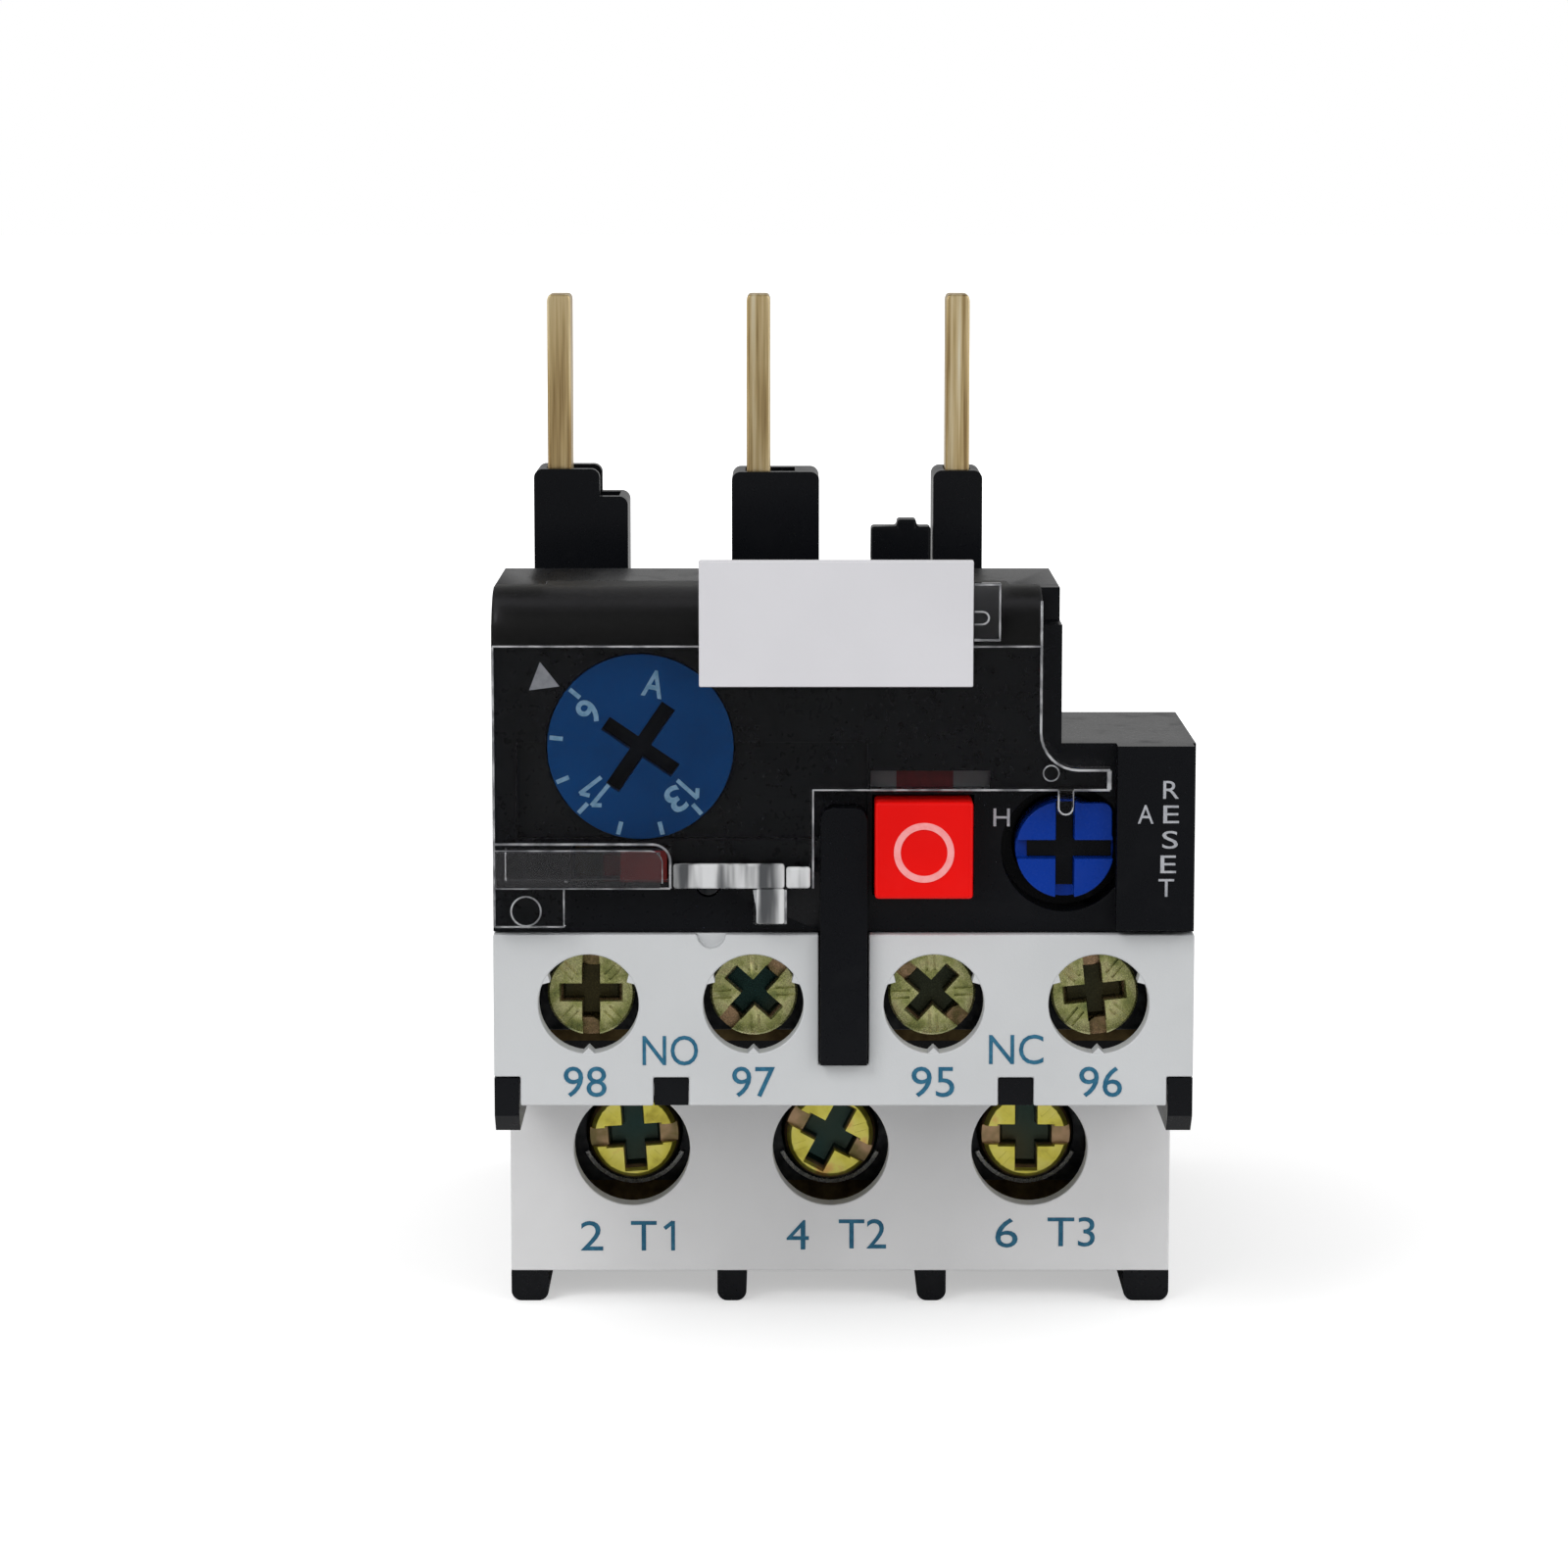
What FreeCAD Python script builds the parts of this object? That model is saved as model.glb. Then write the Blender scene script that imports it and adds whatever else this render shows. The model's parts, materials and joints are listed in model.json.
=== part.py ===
import FreeCAD, Part
import Sketcher
import math
import os

# Thermal overload relay, three poles, plug-in type, in millimetres.
# X is the width, Y runs from the front plate (negative) to the back, Z is up.
# The origin is the middle of the base. A depth is counted from the front plate.

SIZES = {
    # Whole relay
    "overall_wide": 45.0, "overall_deep": 66.0, "overall_high": 68.2,
    "wall": 1.6, "running_gap": 0.1, "seat_gap": 0.3,
    # Front housing
    "face_depth": 3.4, "front_back_depth": 19.5, "front_wall": 1.8, "front_low": 17.2,
    "front_high": 50.4, "tall_right": 13.9, "right_high": 40.7, "ear_wide": 1.6,
    "ear_low": 15.3, "ear_high": 19.0, "ear_depth": 3.0, "ear_bevel": 1.2,
    "deck_low": 27.9, "deck_thick": 1.7, "chamber_high": 46.6, "right_chamber_high": 39.1,
    "shelf_low": 34.6, "shelf_high": 40.8, "shelf_left": -20.9, "shelf_right": 1.5,
    "shelf_drop": 0.5, "column_right": 22.3, "column_low": 28.8,
    "column_depth": 1.8, "barrier_wide": 3.0, "barrier_low": 20.0, "barrier_high": 36.7,
    "barrier_depth": 2.0, "barrier_gap": 0.1, "barrier_corner": 0.75, "barrier_soft": 0.22,
    # Terminals of the auxiliary contacts
    "aux_cover_depth": 2.8, "aux_cover_thick": 1.6, "aux_cover_high": 28.4,
    "aux_x_outer": 16.4, "aux_x_inner": 5.8, "aux_z": 23.85, "aux_hole_radius": 3.23,
    "dent_x": -8.5, "dent_radius": 0.9, "dent_deep": 0.6, "aux_chamber_back": 17.5,
    "aux_wall_middle": 11.1, "aux_wall_half": 1.05, "lug_wide": 2.2, "lug_high": 1.8,
    "lug_slot_gap": 0.05, "aux_head_depth": 7.0, "aux_head_radius": 2.85,
    "aux_head_thick": 2.0, "aux_shank_radius": 1.7, "aux_shank_end": 16.4,
    "aux_washer_half": 3.5, "aux_washer_thick": 0.8, "aux_plate_depth": 12.4,
    "aux_plate_thick": 1.2, "aux_plate_half": 3.8, "aux_plate_low": 19.6,
    "tail_half": 1.2, "tail_high": 31.0, "arm_low": 36.8, "arm_high": 38.9,
    # Hinge of the clear cover
    "hinge_depth": 8.2, "hinge_z": 49.6, "hinge_radius": 1.05, "hinge_pin_radius": 0.6,
    "hinge_groove_depth": 9.6, "hinge_groove_low": 48.3, "hinge_lug_wide": 3.2,
    "hinge_lug_depth": 6.4, "hinge_stub": 2.4,
    # Driver recesses of all screws
    "slot_deep": 0.6, "drive_deep": 1.3, "drive_half": 0.65, "drive_rim": 0.75,
    # Clear cover
    "cover_depth": 1.6, "cover_thick": 1.2, "cover_top": 50.65, "cover_round": 3.5,
    "cover_left": -22.4, "cover_right": 12.6, "cover_low": 31.5, "cover_step_x": -2.1,
    "cover_step_z": 37.8, "cover_tab_right": 17.0, "cover_tab_high": 39.3,
    "cover_tab_round": 2.4, "prong_left": 13.6, "prong_right": 14.6, "prong_low": 36.3,
    "prong_thick": 0.8, "tongue_left": -5.8, "tongue_right": -3.65, "tongue_low": 29.2,
    "corner_tab_right": -17.8, "corner_tab_low": 29.0, "cover_window_left": -21.6,
    "cover_window_right": -11.1, "cover_window_low": 32.0, "cover_window_high": 34.0,
    # Marker holder and plate
    "marker_left": -9.2, "marker_right": 8.1, "marker_low": 44.7, "marker_high": 52.7,
    "marker_thick": 0.8, "holder_thick": 0.8, "holder_right": 9.9, "holder_low": 47.5,
    "holder_high": 51.2,
    # Current dial
    "dial_x": -13.0, "dial_z": 40.5, "dial_radius": 5.95, "dial_depth": 3.3,
    "dial_thick": 3.1, "dial_shaft_radius": 1.5, "dial_shaft_end": 11.0,
    "dial_boss_wall": 0.85, "dial_boss_end": 8.4, "dial_slot_wide": 1.0,
    "dial_slot_deep": 1.2, "dial_slot_long": 6.4, "dial_slot_short": 5.4,
    "dial_slot_angle": 55.6,
    "cam_radius": 2.3, "cam_throw": 0.9, "cam_thick": 1.6,
    # Adjusting lever and compensation strip
    "cam_gap": 0.35, "lever_pivot_z": 31.6, "lever_top": 45.6, "lever_half": 0.75,
    "lever_eye_radius": 1.6, "lever_pin_radius": 0.8, "lever_start": 9.0,
    "lever_end": 10.6, "strip_gap": 0.9, "strip_thick": 0.7, "strip_deep": 3.0,
    # Buttons
    "stop_left": 1.95, "stop_wide": 6.25, "stop_low": 31.0, "stop_depth": 0.9,
    "stop_long": 5.3, "button_gap": 0.12, "button_travel": 2.5, "stop_guide_wall": 1.0,
    "stop_guide_end": 11.6, "stop_guide_floor": 1.0, "stop_stem_radius": 0.9,
    "stop_stem_end": 11.4,
    "reset_x": 14.15, "reset_z": 33.9, "reset_depth": 2.9, "reset_radius": 3.15,
    "reset_thick": 3.0, "reset_pointer": 3.0, "reset_pointer_thick": 0.6, "reset_pointer_round": 0.6,
    "reset_slot_wide": 1.2, "reset_slot_deep": 1.0, "reset_boss_wall": 0.8,
    "reset_boss_end": 12.0, "reset_floor": 1.0, "reset_disc_thick": 1.0,
    "reset_stem_radius": 0.9, "reset_stem_end": 11.1,
    "spring_wire": 0.4, "spring_turns": 3.5,
    # Test slider and trip flag
    "test_left": -14.3, "test_wide": 3.0, "test_low": 32.0, "test_high": 34.0,
    "test_depth": 2.4, "test_travel": 3.0, "test_slot_gap": 0.15, "test_foot_thick": 1.0,
    "test_foot_low": 30.4, "test_foot_high": 33.2, "test_foot_extra": 1.2,
    "flag_left": 1.7, "flag_right": 9.35, "flag_low": 37.8, "flag_high": 38.95,
    "flag_wall": 0.7, "flag_thick": 0.8, "flag_margin": 2.0, "flag_arm_left": 8.5,
    "flag_arm_wide": 1.5, "flag_arm_high": 40.6, "flag_bottom": 37.65,
    # Contact carrier and moving contacts
    "carrier_depth": 13.9, "carrier_deep": 1.8, "carrier_low": 36.9, "carrier_high": 38.9,
    "carrier_left": -9.0, "carrier_leg_wide": 1.4, "carrier_leg_low": 31.0,
    "blade_thick": 0.4, "blade_deep": 2.8, "blade_high": 40.2, "blade_gap": 0.1,
    "contact_radius": 0.8, "contact_thick": 0.5, "contact_z": 37.9, "open_gap": 1.25,
    "closed_gap": 0.1, "notch_wide": 0.9, "notch_deep": 1.35, "blade_shift": 1.0,
    # Rear housing
    "rear_front_depth": 19.5, "rear_step_depth": 21.5, "rear_low": 2.1, "rear_step_high": 15.3,
    "rear_high": 38.0, "rear_back_high": 34.5, "roof_step_front": 38.0,
    "roof_step_back": 41.0, "roof_thick": 1.5, "back_bevel": 2.5, "rear_floor": 1.8,
    "pole_wall_left": -7.4, "pole_wall_right": 6.25, "pole_wall_half": 1.0,
    "foot_outer_left": 2.55, "foot_outer_right": 3.1, "foot_end_depth": 64.0,
    "foot_start_depth": 19.9, "foot_round": 0.7,
    "pole_wall_high": 30.1, "shelf_bottom": 17.0,
    "shelf_thick": 1.5, "terminal_wall_depth": 31.5, "terminal_wall_thick": 1.5,
    "entry_half": 4.6, "entry_end": 28.0, "window_low": 30.4, "window_high": 33.8,
    "window_left": 12.9, "window_right": 20.4,
    "panel_start": 25.0, "panel_end": 60.0, "panel_low": 7.0, "panel_high": 30.0,
    "panel_deep": 0.5, "groove_pitch": 3.2, "groove_wide": 1.4, "groove_low": 8.0,
    "groove_high": 26.0, "grip_start": 6.5, "grip_end": 16.5, "grip_low": 22.0,
    "grip_high": 36.0, "grip_deep": 0.4,
    # Main terminals
    "main_pitch": 13.55, "main_middle": -0.65, "main_z": 10.65,
    "main_cover_depth": 19.9, "main_cover_high": 15.2, "main_hole_radius": 3.95,
    "main_head_depth": 24.0,
    "main_head_radius": 3.35, "main_head_thick": 2.4, "main_shank_radius": 2.0,
    "main_shank_end": 31.3, "main_washer_half": 4.2, "main_washer_low": 3.7, "main_washer_high": 4.2,
    "main_washer_thick": 0.8, "main_plate_depth": 28.0, "main_plate_thick": 1.5,
    "main_plate_half": 4.5, "main_plate_high": 16.0, "leg_half": 2.5, "leg_end": 52.0,
    "leg_gap": 0.1,
    # Bimetal strips with their heaters
    "bimetal_shift": 1.0, "bimetal_depth": 46.0, "bimetal_deep": 5.0,
    "bimetal_thick": 1.0, "bimetal_top": 30.0, "bimetal_pivot_z": 7.5,
    "sleeve_low": 9.5, "sleeve_high": 26.0, "sleeve_gap": 0.3, "sleeve_wall": 0.4,
    "ribbon_gap": 0.2, "ribbon_thick": 0.4, "ribbon_wide": 1.1, "ribbon_turns": 5.5, "ribbon_pitch": 2.6,
    # Slide bars and trip lever
    "bar_low": 30.4, "bar_thick": 2.0, "bar_deep": 2.0, "bar_left": -18.2,
    "push_bar_depth": 45.5, "difference_stop": 4.0, "difference_bar_depth": 49.5, "finger_gap": 0.35,
    "finger_wide": 1.2, "finger_low": 27.0, "bar_travel": 2.4, "trip_pivot_x": 16.2,
    "trip_pivot_depth": 24.0, "trip_arm_half": 1.0, "trip_low": 31.0, "trip_thick": 2.0,
    "trip_eye_radius": 2.2, "trip_front_depth": 14.0, "trip_pin_radius": 1.0,
    "trip_pin_low": 25.0, "pin_clearance": 0.05, "pillar_radius": 2.4,
    # Pins, guides and hook
    "pin_x_left": -19.4, "pin_x_middle": -5.6, "pin_x_right": 8.2, "pin_wide": 1.65,
    "pin_depth": 32.0, "pin_deep": 3.6, "pin_low": 34.4, "pin_shoulder": 1.9,
    "pin_shoulder_margin": 0.8, "pin_tip": 0.15, "pin_left_travel": 3.2,
    "pin_middle_travel": 1.6, "guide_depth": 31.0, "guide_deep": 6.0,
    "guide_left_a": -21.15, "guide_left_b": -16.6, "guide_left_c": -14.65,
    "guide_left_high": 56.2, "guide_left_step": 54.3, "guide_middle_a": -7.45,
    "guide_middle_b": -1.4, "guide_middle_high": 56.0, "guide_right_a": 6.5,
    "guide_right_b": 9.9, "guide_right_high": 56.1, "guide_round": 0.6,
    "hook_left": 2.2, "hook_right": 6.35, "hook_high": 52.2, "hook_nub_left": 4.0,
    "hook_nub_right": 5.35, "hook_nub_high": 52.7, "hook_deep": 2.2, "hook_nose": 1.6,
    "hook_nose_low": 49.6,
}

# Sizes along X at the nominal width. They stretch with the whole width.
NOMINAL_WIDE = 45.0
ACROSS = """
tall_right shelf_left shelf_right column_right barrier_wide aux_x_outer
aux_x_inner aux_wall_middle aux_wall_half aux_washer_half aux_plate_half tail_half
cover_left cover_right cover_step_x cover_tab_right prong_left prong_right tongue_left
tongue_right corner_tab_right cover_window_left cover_window_right marker_left
dent_x marker_right holder_right dial_x stop_left reset_x test_left test_wide flag_left
flag_right flag_arm_left flag_arm_wide carrier_left pole_wall_left pole_wall_right
pole_wall_half entry_half window_left window_right main_pitch main_middle
main_washer_half main_plate_half leg_half bimetal_shift groove_pitch groove_wide bar_left trip_pivot_x
trip_arm_half difference_stop pin_x_left pin_x_middle pin_x_right pin_wide pin_left_travel
pin_middle_travel guide_left_a guide_left_b guide_left_c guide_middle_a guide_middle_b
guide_right_a guide_right_b hook_left hook_right hook_nub_left hook_nub_right
""".split()

doc = FreeCAD.newDocument("overload_relay")
sheet = doc.addObject("Spreadsheet::Sheet", "Sizes")


def text_of(number):
    """Write a number so that an expression can hold it, also when negative."""
    return "(%.6f)" % number if number < 0 else "%.6f" % number


class Size:
    """A length with its number and the sheet expression that gives it."""

    def __init__(self, number, text=None):
        self.number = float(number)
        self.text = text if text else text_of(number)

    def __add__(self, other):
        other = as_size(other)
        return Size(self.number + other.number, "(%s + %s)" % (self.text, other.text))

    def __radd__(self, other):
        return as_size(other) + self

    def __sub__(self, other):
        other = as_size(other)
        return Size(self.number - other.number, "(%s - %s)" % (self.text, other.text))

    def __rsub__(self, other):
        return as_size(other) - self

    def __mul__(self, other):
        other = as_size(other)
        return Size(self.number * other.number, "(%s * %s)" % (self.text, other.text))

    def __rmul__(self, other):
        return self * other

    def __truediv__(self, other):
        other = as_size(other)
        return Size(self.number / other.number, "(%s / %s)" % (self.text, other.text))

    def __neg__(self):
        return Size(-self.number, "(0 - %s)" % self.text)


def as_size(value):
    return value if isinstance(value, Size) else Size(value)


class Sheet:
    """The size sheet: each alias reads as an attribute."""

    def __init__(self):
        for row, (alias, number) in enumerate(SIZES.items(), start=1):
            cell, content = "B%d" % row, "%g" % number
            if alias in ACROSS:
                content = "=%g * overall_wide / %g" % (number, NOMINAL_WIDE)
                number *= SIZES["overall_wide"] / NOMINAL_WIDE
            sheet.set("A%d" % row, alias)
            sheet.set(cell, content)
            sheet.setAlias(cell, alias)
            setattr(self, alias, Size(number, "Sizes.%s" % alias))


s = Sheet()
doc.recompute()

SPRING_STEPS = 10
PLANES = {"top": "XY_Plane", "front": "XZ_Plane", "side": "YZ_Plane"}


def deep(depth):
    """Y of a depth behind the front plate."""
    return as_size(depth) - s.overall_deep / 2


def bind(item, prop, value):
    """Give a property its number, and tie it to the sheet."""
    value = as_size(value)
    if "Sizes." in value.text:
        item.setExpression(prop, value.text)
    return value.number


def rect(low_u, low_v, high_u, high_v):
    return [(low_u, low_v), (high_u, low_v), (high_u, high_v), (low_u, high_v)]


class Round:
    """A circle in a sketch."""

    def __init__(self, u, v, radius):
        self.u, self.v, self.radius = as_size(u), as_size(v), as_size(radius)


class Piece:
    """One sub-part: a body whose sketches and features follow the sheet."""

    def __init__(self, name, x=0, y=0, z=0):
        self.body = doc.addObject("PartDesign::Body", name)
        self.body.Label = name
        for axis, value in zip("xyz", (x, y, z)):
            number = bind(self.body, "Placement.Base." + axis, value)
            if "Sizes." not in as_size(value).text:
                setattr(self.body.Placement.Base, axis, number)

    def fix(self, sketch, kind, index, vertex, value):
        """Dimension one coordinate of a sketch point from the sketch origin."""
        value = as_size(value)
        place = sketch.addConstraint(
            Sketcher.Constraint(kind, -1, 1, index, vertex, value.number))
        if "Sizes." in value.text:
            sketch.setExpression("Constraints[%d]" % place, value.text)

    def draw(self, sketch, outline):
        """Draw one closed outline: a circle or a polygon of sized corners."""
        first = sketch.GeometryCount
        if isinstance(outline, Round):
            centre = FreeCAD.Vector(outline.u.number, outline.v.number, 0)
            sketch.addGeometry(
                Part.Circle(centre, FreeCAD.Vector(0, 0, 1), outline.radius.number), False)
            self.fix(sketch, "DistanceX", first, 3, outline.u)
            self.fix(sketch, "DistanceY", first, 3, outline.v)
            place = sketch.addConstraint(
                Sketcher.Constraint("Radius", first, outline.radius.number))
            if "Sizes." in outline.radius.text:
                sketch.setExpression("Constraints[%d]" % place, outline.radius.text)
            return
        corners = [(as_size(u), as_size(v)) for u, v in outline]
        points = [FreeCAD.Vector(u.number, v.number, 0) for u, v in corners]
        count = len(points)
        for index in range(count):
            line = Part.LineSegment(points[index], points[(index + 1) % count])
            sketch.addGeometry(line, False)
        for index in range(count):
            following = first + (index + 1) % count
            sketch.addConstraint(
                Sketcher.Constraint("Coincident", first + index, 2, following, 1))
        for index, (u, v) in enumerate(corners):
            self.fix(sketch, "DistanceX", first + index, 1, u)
            self.fix(sketch, "DistanceY", first + index, 1, v)

    def sketch(self, plane, level, outlines):
        """Draw outlines on a plane of the body, moved to a level along its normal."""
        sketch = self.body.newObject("Sketcher::SketchObject", "Sketch")
        role = PLANES[plane]
        origin = [f for f in self.body.Origin.OriginFeatures if f.Role == role][0]
        sketch.AttachmentSupport = [(origin, "")]
        sketch.MapMode = "FlatFace"
        level = -as_size(level) if plane == "front" else as_size(level)
        sketch.AttachmentOffset = FreeCAD.Placement(
            FreeCAD.Vector(0, 0, level.number), FreeCAD.Rotation())
        bind(sketch, "AttachmentOffset.Base.z", level)
        for outline in outlines:
            self.draw(sketch, outline)
        sketch.Visibility = False
        return sketch

    def volume(self):
        doc.recompute()
        return self.body.Shape.Volume

    def add(self, plane, low, high, *outlines):
        """Pad outlines between two levels."""
        start = low if plane != "front" else high
        pad = self.body.newObject("PartDesign::Pad", "Pad")
        pad.Profile = self.sketch(plane, start, outlines)
        pad.Length = bind(pad, "Length", as_size(high) - low)
        self.body.Tip = pad
        return pad

    def cut(self, plane, low, high, *outlines):
        """Pocket outlines between two levels, and check that they took material."""
        before = self.volume()
        start = high if plane != "front" else low
        pocket = self.body.newObject("PartDesign::Pocket", "Pocket")
        pocket.Profile = self.sketch(plane, start, outlines)
        pocket.Length = bind(pocket, "Length", as_size(high) - low)
        self.body.Tip = pocket
        if self.volume() > before - 1e-6:
            raise ValueError("a pocket of %s cut nothing" % self.body.Label)
        return pocket

    def turn(self, plane, level, axis, outline):
        """Revolve an outline about an axis of its sketch."""
        sketch = self.sketch(plane, level, [outline])
        turned = self.body.newObject("PartDesign::Revolution", "Revolution")
        turned.Profile = sketch
        turned.ReferenceAxis = (sketch, [axis])
        turned.Angle = 360
        self.body.Tip = turned
        return turned

    def edges(self, axis, places):
        """Names of the straight edges along an axis that pass through the places."""
        doc.recompute()
        names = []
        shape = self.body.Tip.Shape
        others = [i for i in range(3) if i != "xyz".index(axis)]
        for number, edge in enumerate(shape.Edges, start=1):
            if edge.Curve.TypeId != "Part::GeomLine":
                continue
            ends = [vertex.Point for vertex in edge.Vertexes]
            if len(ends) != 2:
                continue
            spread = ends[1] - ends[0]
            if max(abs(spread[i]) for i in others) > 1e-4:
                continue
            for place in places:
                wanted = [as_size(value).number for value in place]
                if all(abs(ends[0][i] - w) < 1e-3 for i, w in zip(others, wanted)):
                    names.append("Edge%d" % number)
        return names

    def round(self, axis, radius, *places):
        """Fillet the edges along an axis at the given places."""
        names = self.edges(axis, places)
        if not names:
            raise ValueError("no edge to round on %s" % self.body.Label)
        base = self.body.Tip
        fillet = self.body.newObject("PartDesign::Fillet", "Fillet")
        fillet.Base = (base, names)
        fillet.Radius = bind(fillet, "Radius", radius)
        self.body.Tip = fillet
        return fillet

    def bevel(self, axis, size, *places):
        """Chamfer the edges along an axis at the given places."""
        names = self.edges(axis, places)
        if not names:
            raise ValueError("no edge to bevel on %s" % self.body.Label)
        base = self.body.Tip
        chamfer = self.body.newObject("PartDesign::Chamfer", "Chamfer")
        chamfer.Base = (base, names)
        chamfer.Size = bind(chamfer, "Size", size)
        self.body.Tip = chamfer
        return chamfer


PARTS = []


def done(piece):
    PARTS.append(piece.body)
    return piece


def round_turn(radius):
    """Points of one turn of a spring, as a polygon."""
    angles = [2 * math.pi * count / SPRING_STEPS for count in range(SPRING_STEPS)]
    return [(radius.number * math.cos(angle), radius.number * math.sin(angle))
            for angle in angles]


def flat_turn(half_x, half_y):
    """Points of one turn round a flat strip."""
    x, y = half_x.number, half_y.number
    return [(x, y), (-x, y), (-x, -y), (x, -y)]


def winding(name, inner, outer, tall, pitch, turns, place):
    """Wind a strip between two turns about its own Z axis, in straight runs."""
    tall, pitch = as_size(tall).number, as_size(pitch).number
    steps = len(inner)
    stations = []
    for count in range(int(turns * steps) + 1):
        low = pitch * count / steps
        near, far = inner[count % steps], outer[count % steps]
        stations.append([FreeCAD.Vector(*corner) for corner in (
            (*near, low), (*far, low), (*far, low + tall), (*near, low + tall))])
    ends = [stations[0] + stations[0][:1], stations[-1] + stations[-1][:1]]
    for before, after in zip(stations, stations[1:]):
        for side in range(4):
            a, b = before[side], before[(side + 1) % 4]
            c, d = after[(side + 1) % 4], after[side]
            ends += [[a, b, c, a], [a, c, d, a]]
    shell = Part.makeShell([Part.Face(Part.makePolygon(corners)) for corners in ends])
    solid = Part.makeSolid(shell)
    if solid.Volume < 0:
        solid.reverse()
    item = doc.addObject("Part::Feature", name)
    item.Label = name
    item.Shape = solid
    item.Placement = place
    PARTS.append(item)
    return item


def group(name, pieces):
    """Join loose copies of one fastener under one name."""
    compound = doc.addObject("Part::Compound", name)
    compound.Label = name
    compound.Links = [piece.body for piece in pieces]
    PARTS.append(compound)


half_wide = s.overall_wide / 2
aux_places = [-s.aux_x_outer, -s.aux_x_inner, s.aux_x_inner, s.aux_x_outer]
blade_places = [x + s.blade_shift for x in (-s.aux_x_inner, s.aux_x_inner)]
main_places = [s.main_middle + s.main_pitch * n for n in (-1, 0, 1)]
pole_edges = [-half_wide + s.wall, s.pole_wall_left - s.pole_wall_half,
              s.pole_wall_left + s.pole_wall_half, s.pole_wall_right - s.pole_wall_half,
              s.pole_wall_right + s.pole_wall_half, half_wide - s.wall]
pole_rooms = [(pole_edges[n], pole_edges[n + 1]) for n in (0, 2, 4)]
bimetal_places = [place - s.bimetal_shift for place in main_places]
deck_high = s.deck_low + s.deck_thick
lever_pivot_x = s.dial_x + s.cam_throw + s.cam_radius + s.cam_gap + s.lever_half
column_left = s.reset_x + s.reset_radius + s.running_gap
stop_x = s.stop_left + s.stop_wide / 2
stop_z = s.stop_low + s.stop_wide / 2


def front_housing():
    """The black front moulding: mechanism case over four terminal chambers."""
    p = Piece("front_housing")
    face, back = deep(s.face_depth), deep(s.front_back_depth)
    inner = deep(s.face_depth + s.front_wall)
    p.add("front", face, back, [
        (-half_wide, s.front_low), (half_wide, s.front_low), (half_wide, s.right_high),
        (s.tall_right, s.right_high), (s.tall_right, s.front_high),
        (-half_wide, s.front_high)])
    room = half_wide - s.wall
    p.cut("front", inner, back, [
        (-room, deck_high), (room, deck_high), (room, s.right_chamber_high),
        (s.tall_right - s.wall, s.right_chamber_high),
        (s.tall_right - s.wall, s.chamber_high), (-room, s.chamber_high)])
    ledge = deep(s.aux_cover_depth + s.aux_cover_thick)
    top = s.aux_cover_high + s.running_gap
    p.cut("front", face, ledge, rect(-half_wide, s.front_low, half_wide, top))
    walls = [-s.aux_wall_middle, s.aux_wall_middle]
    half = s.barrier_wide / 2
    for low, high in ((-room, walls[0] - s.aux_wall_half), (walls[0] + s.aux_wall_half, -half),
                      (half, walls[1] - s.aux_wall_half), (walls[1] + s.aux_wall_half, room)):
        p.cut("front", ledge, deep(s.aux_chamber_back), rect(low, s.front_low, high, s.deck_low))
    for x in aux_places:
        slot = s.tail_half + s.running_gap
        p.cut("top", s.deck_low, deck_high, rect(
            x - slot, deep(s.aux_plate_depth - s.running_gap), x + slot,
            deep(s.aux_plate_depth + s.aux_plate_thick + s.running_gap)))
    ears(p, back, ledge, walls)
    grip = rect(deep(s.grip_start), s.grip_low, deep(s.grip_end), s.grip_high)
    p.cut("side", -half_wide, s.grip_deep - half_wide, grip)
    p.cut("side", half_wide - s.grip_deep, half_wide, grip)
    p.cut("front", face, deep(s.face_depth + s.shelf_drop),
          rect(s.shelf_left, s.shelf_low, s.shelf_right, s.shelf_high))
    p.add("front", deep(s.column_depth), face,
          rect(column_left, s.column_low, s.column_right, s.right_high))
    corner, soft = s.barrier_corner, s.barrier_soft
    p.add("front", deep(s.barrier_depth), ledge, [
        (-half, s.barrier_low), (half, s.barrier_low), (half, s.barrier_high - corner),
        (half - soft, s.barrier_high - soft), (half - corner, s.barrier_high),
        (corner - half, s.barrier_high), (soft - half, s.barrier_high - soft),
        (-half, s.barrier_high - corner)])
    hinge_seat(p, face)
    face_seats(p, face, inner)
    slots_in_face(p, face, inner)
    return done(p)


def ears(p, back, ledge, walls):
    """Side ears and lugs that show round the terminal cover."""
    for side in (-1, 1):
        outer, inside = half_wide * side, (half_wide - s.ear_wide) * side
        p.add("front", deep(s.ear_depth), back, rect(
            min(outer, inside, key=number_of), s.ear_low,
            max(outer, inside, key=number_of), s.ear_high))
    p.bevel("x", s.ear_bevel, (deep(s.ear_depth), s.ear_low))
    for x in walls:
        p.add("front", deep(s.ear_depth), ledge, rect(
            x - s.lug_wide / 2, s.front_low, x + s.lug_wide / 2, s.front_low + s.lug_high))


def number_of(size):
    return size.number


def hinge_seat(p, face):
    """Groove for the cover's hinge barrel, with a drilled lug at each end."""
    left = -half_wide + s.hinge_lug_wide
    right = s.tall_right - s.hinge_lug_wide
    p.cut("front", face, deep(s.hinge_groove_depth),
          rect(left, s.hinge_groove_low, right, s.front_high))
    p.cut("front", face, deep(s.hinge_lug_depth),
          rect(-half_wide, s.hinge_groove_low, left, s.front_high),
          rect(right, s.hinge_groove_low, s.tall_right, s.front_high))
    p.cut("side", left - s.hinge_stub, right + s.hinge_stub,
          Round(deep(s.hinge_depth), s.hinge_z, s.hinge_pin_radius + s.pin_clearance))


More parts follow.
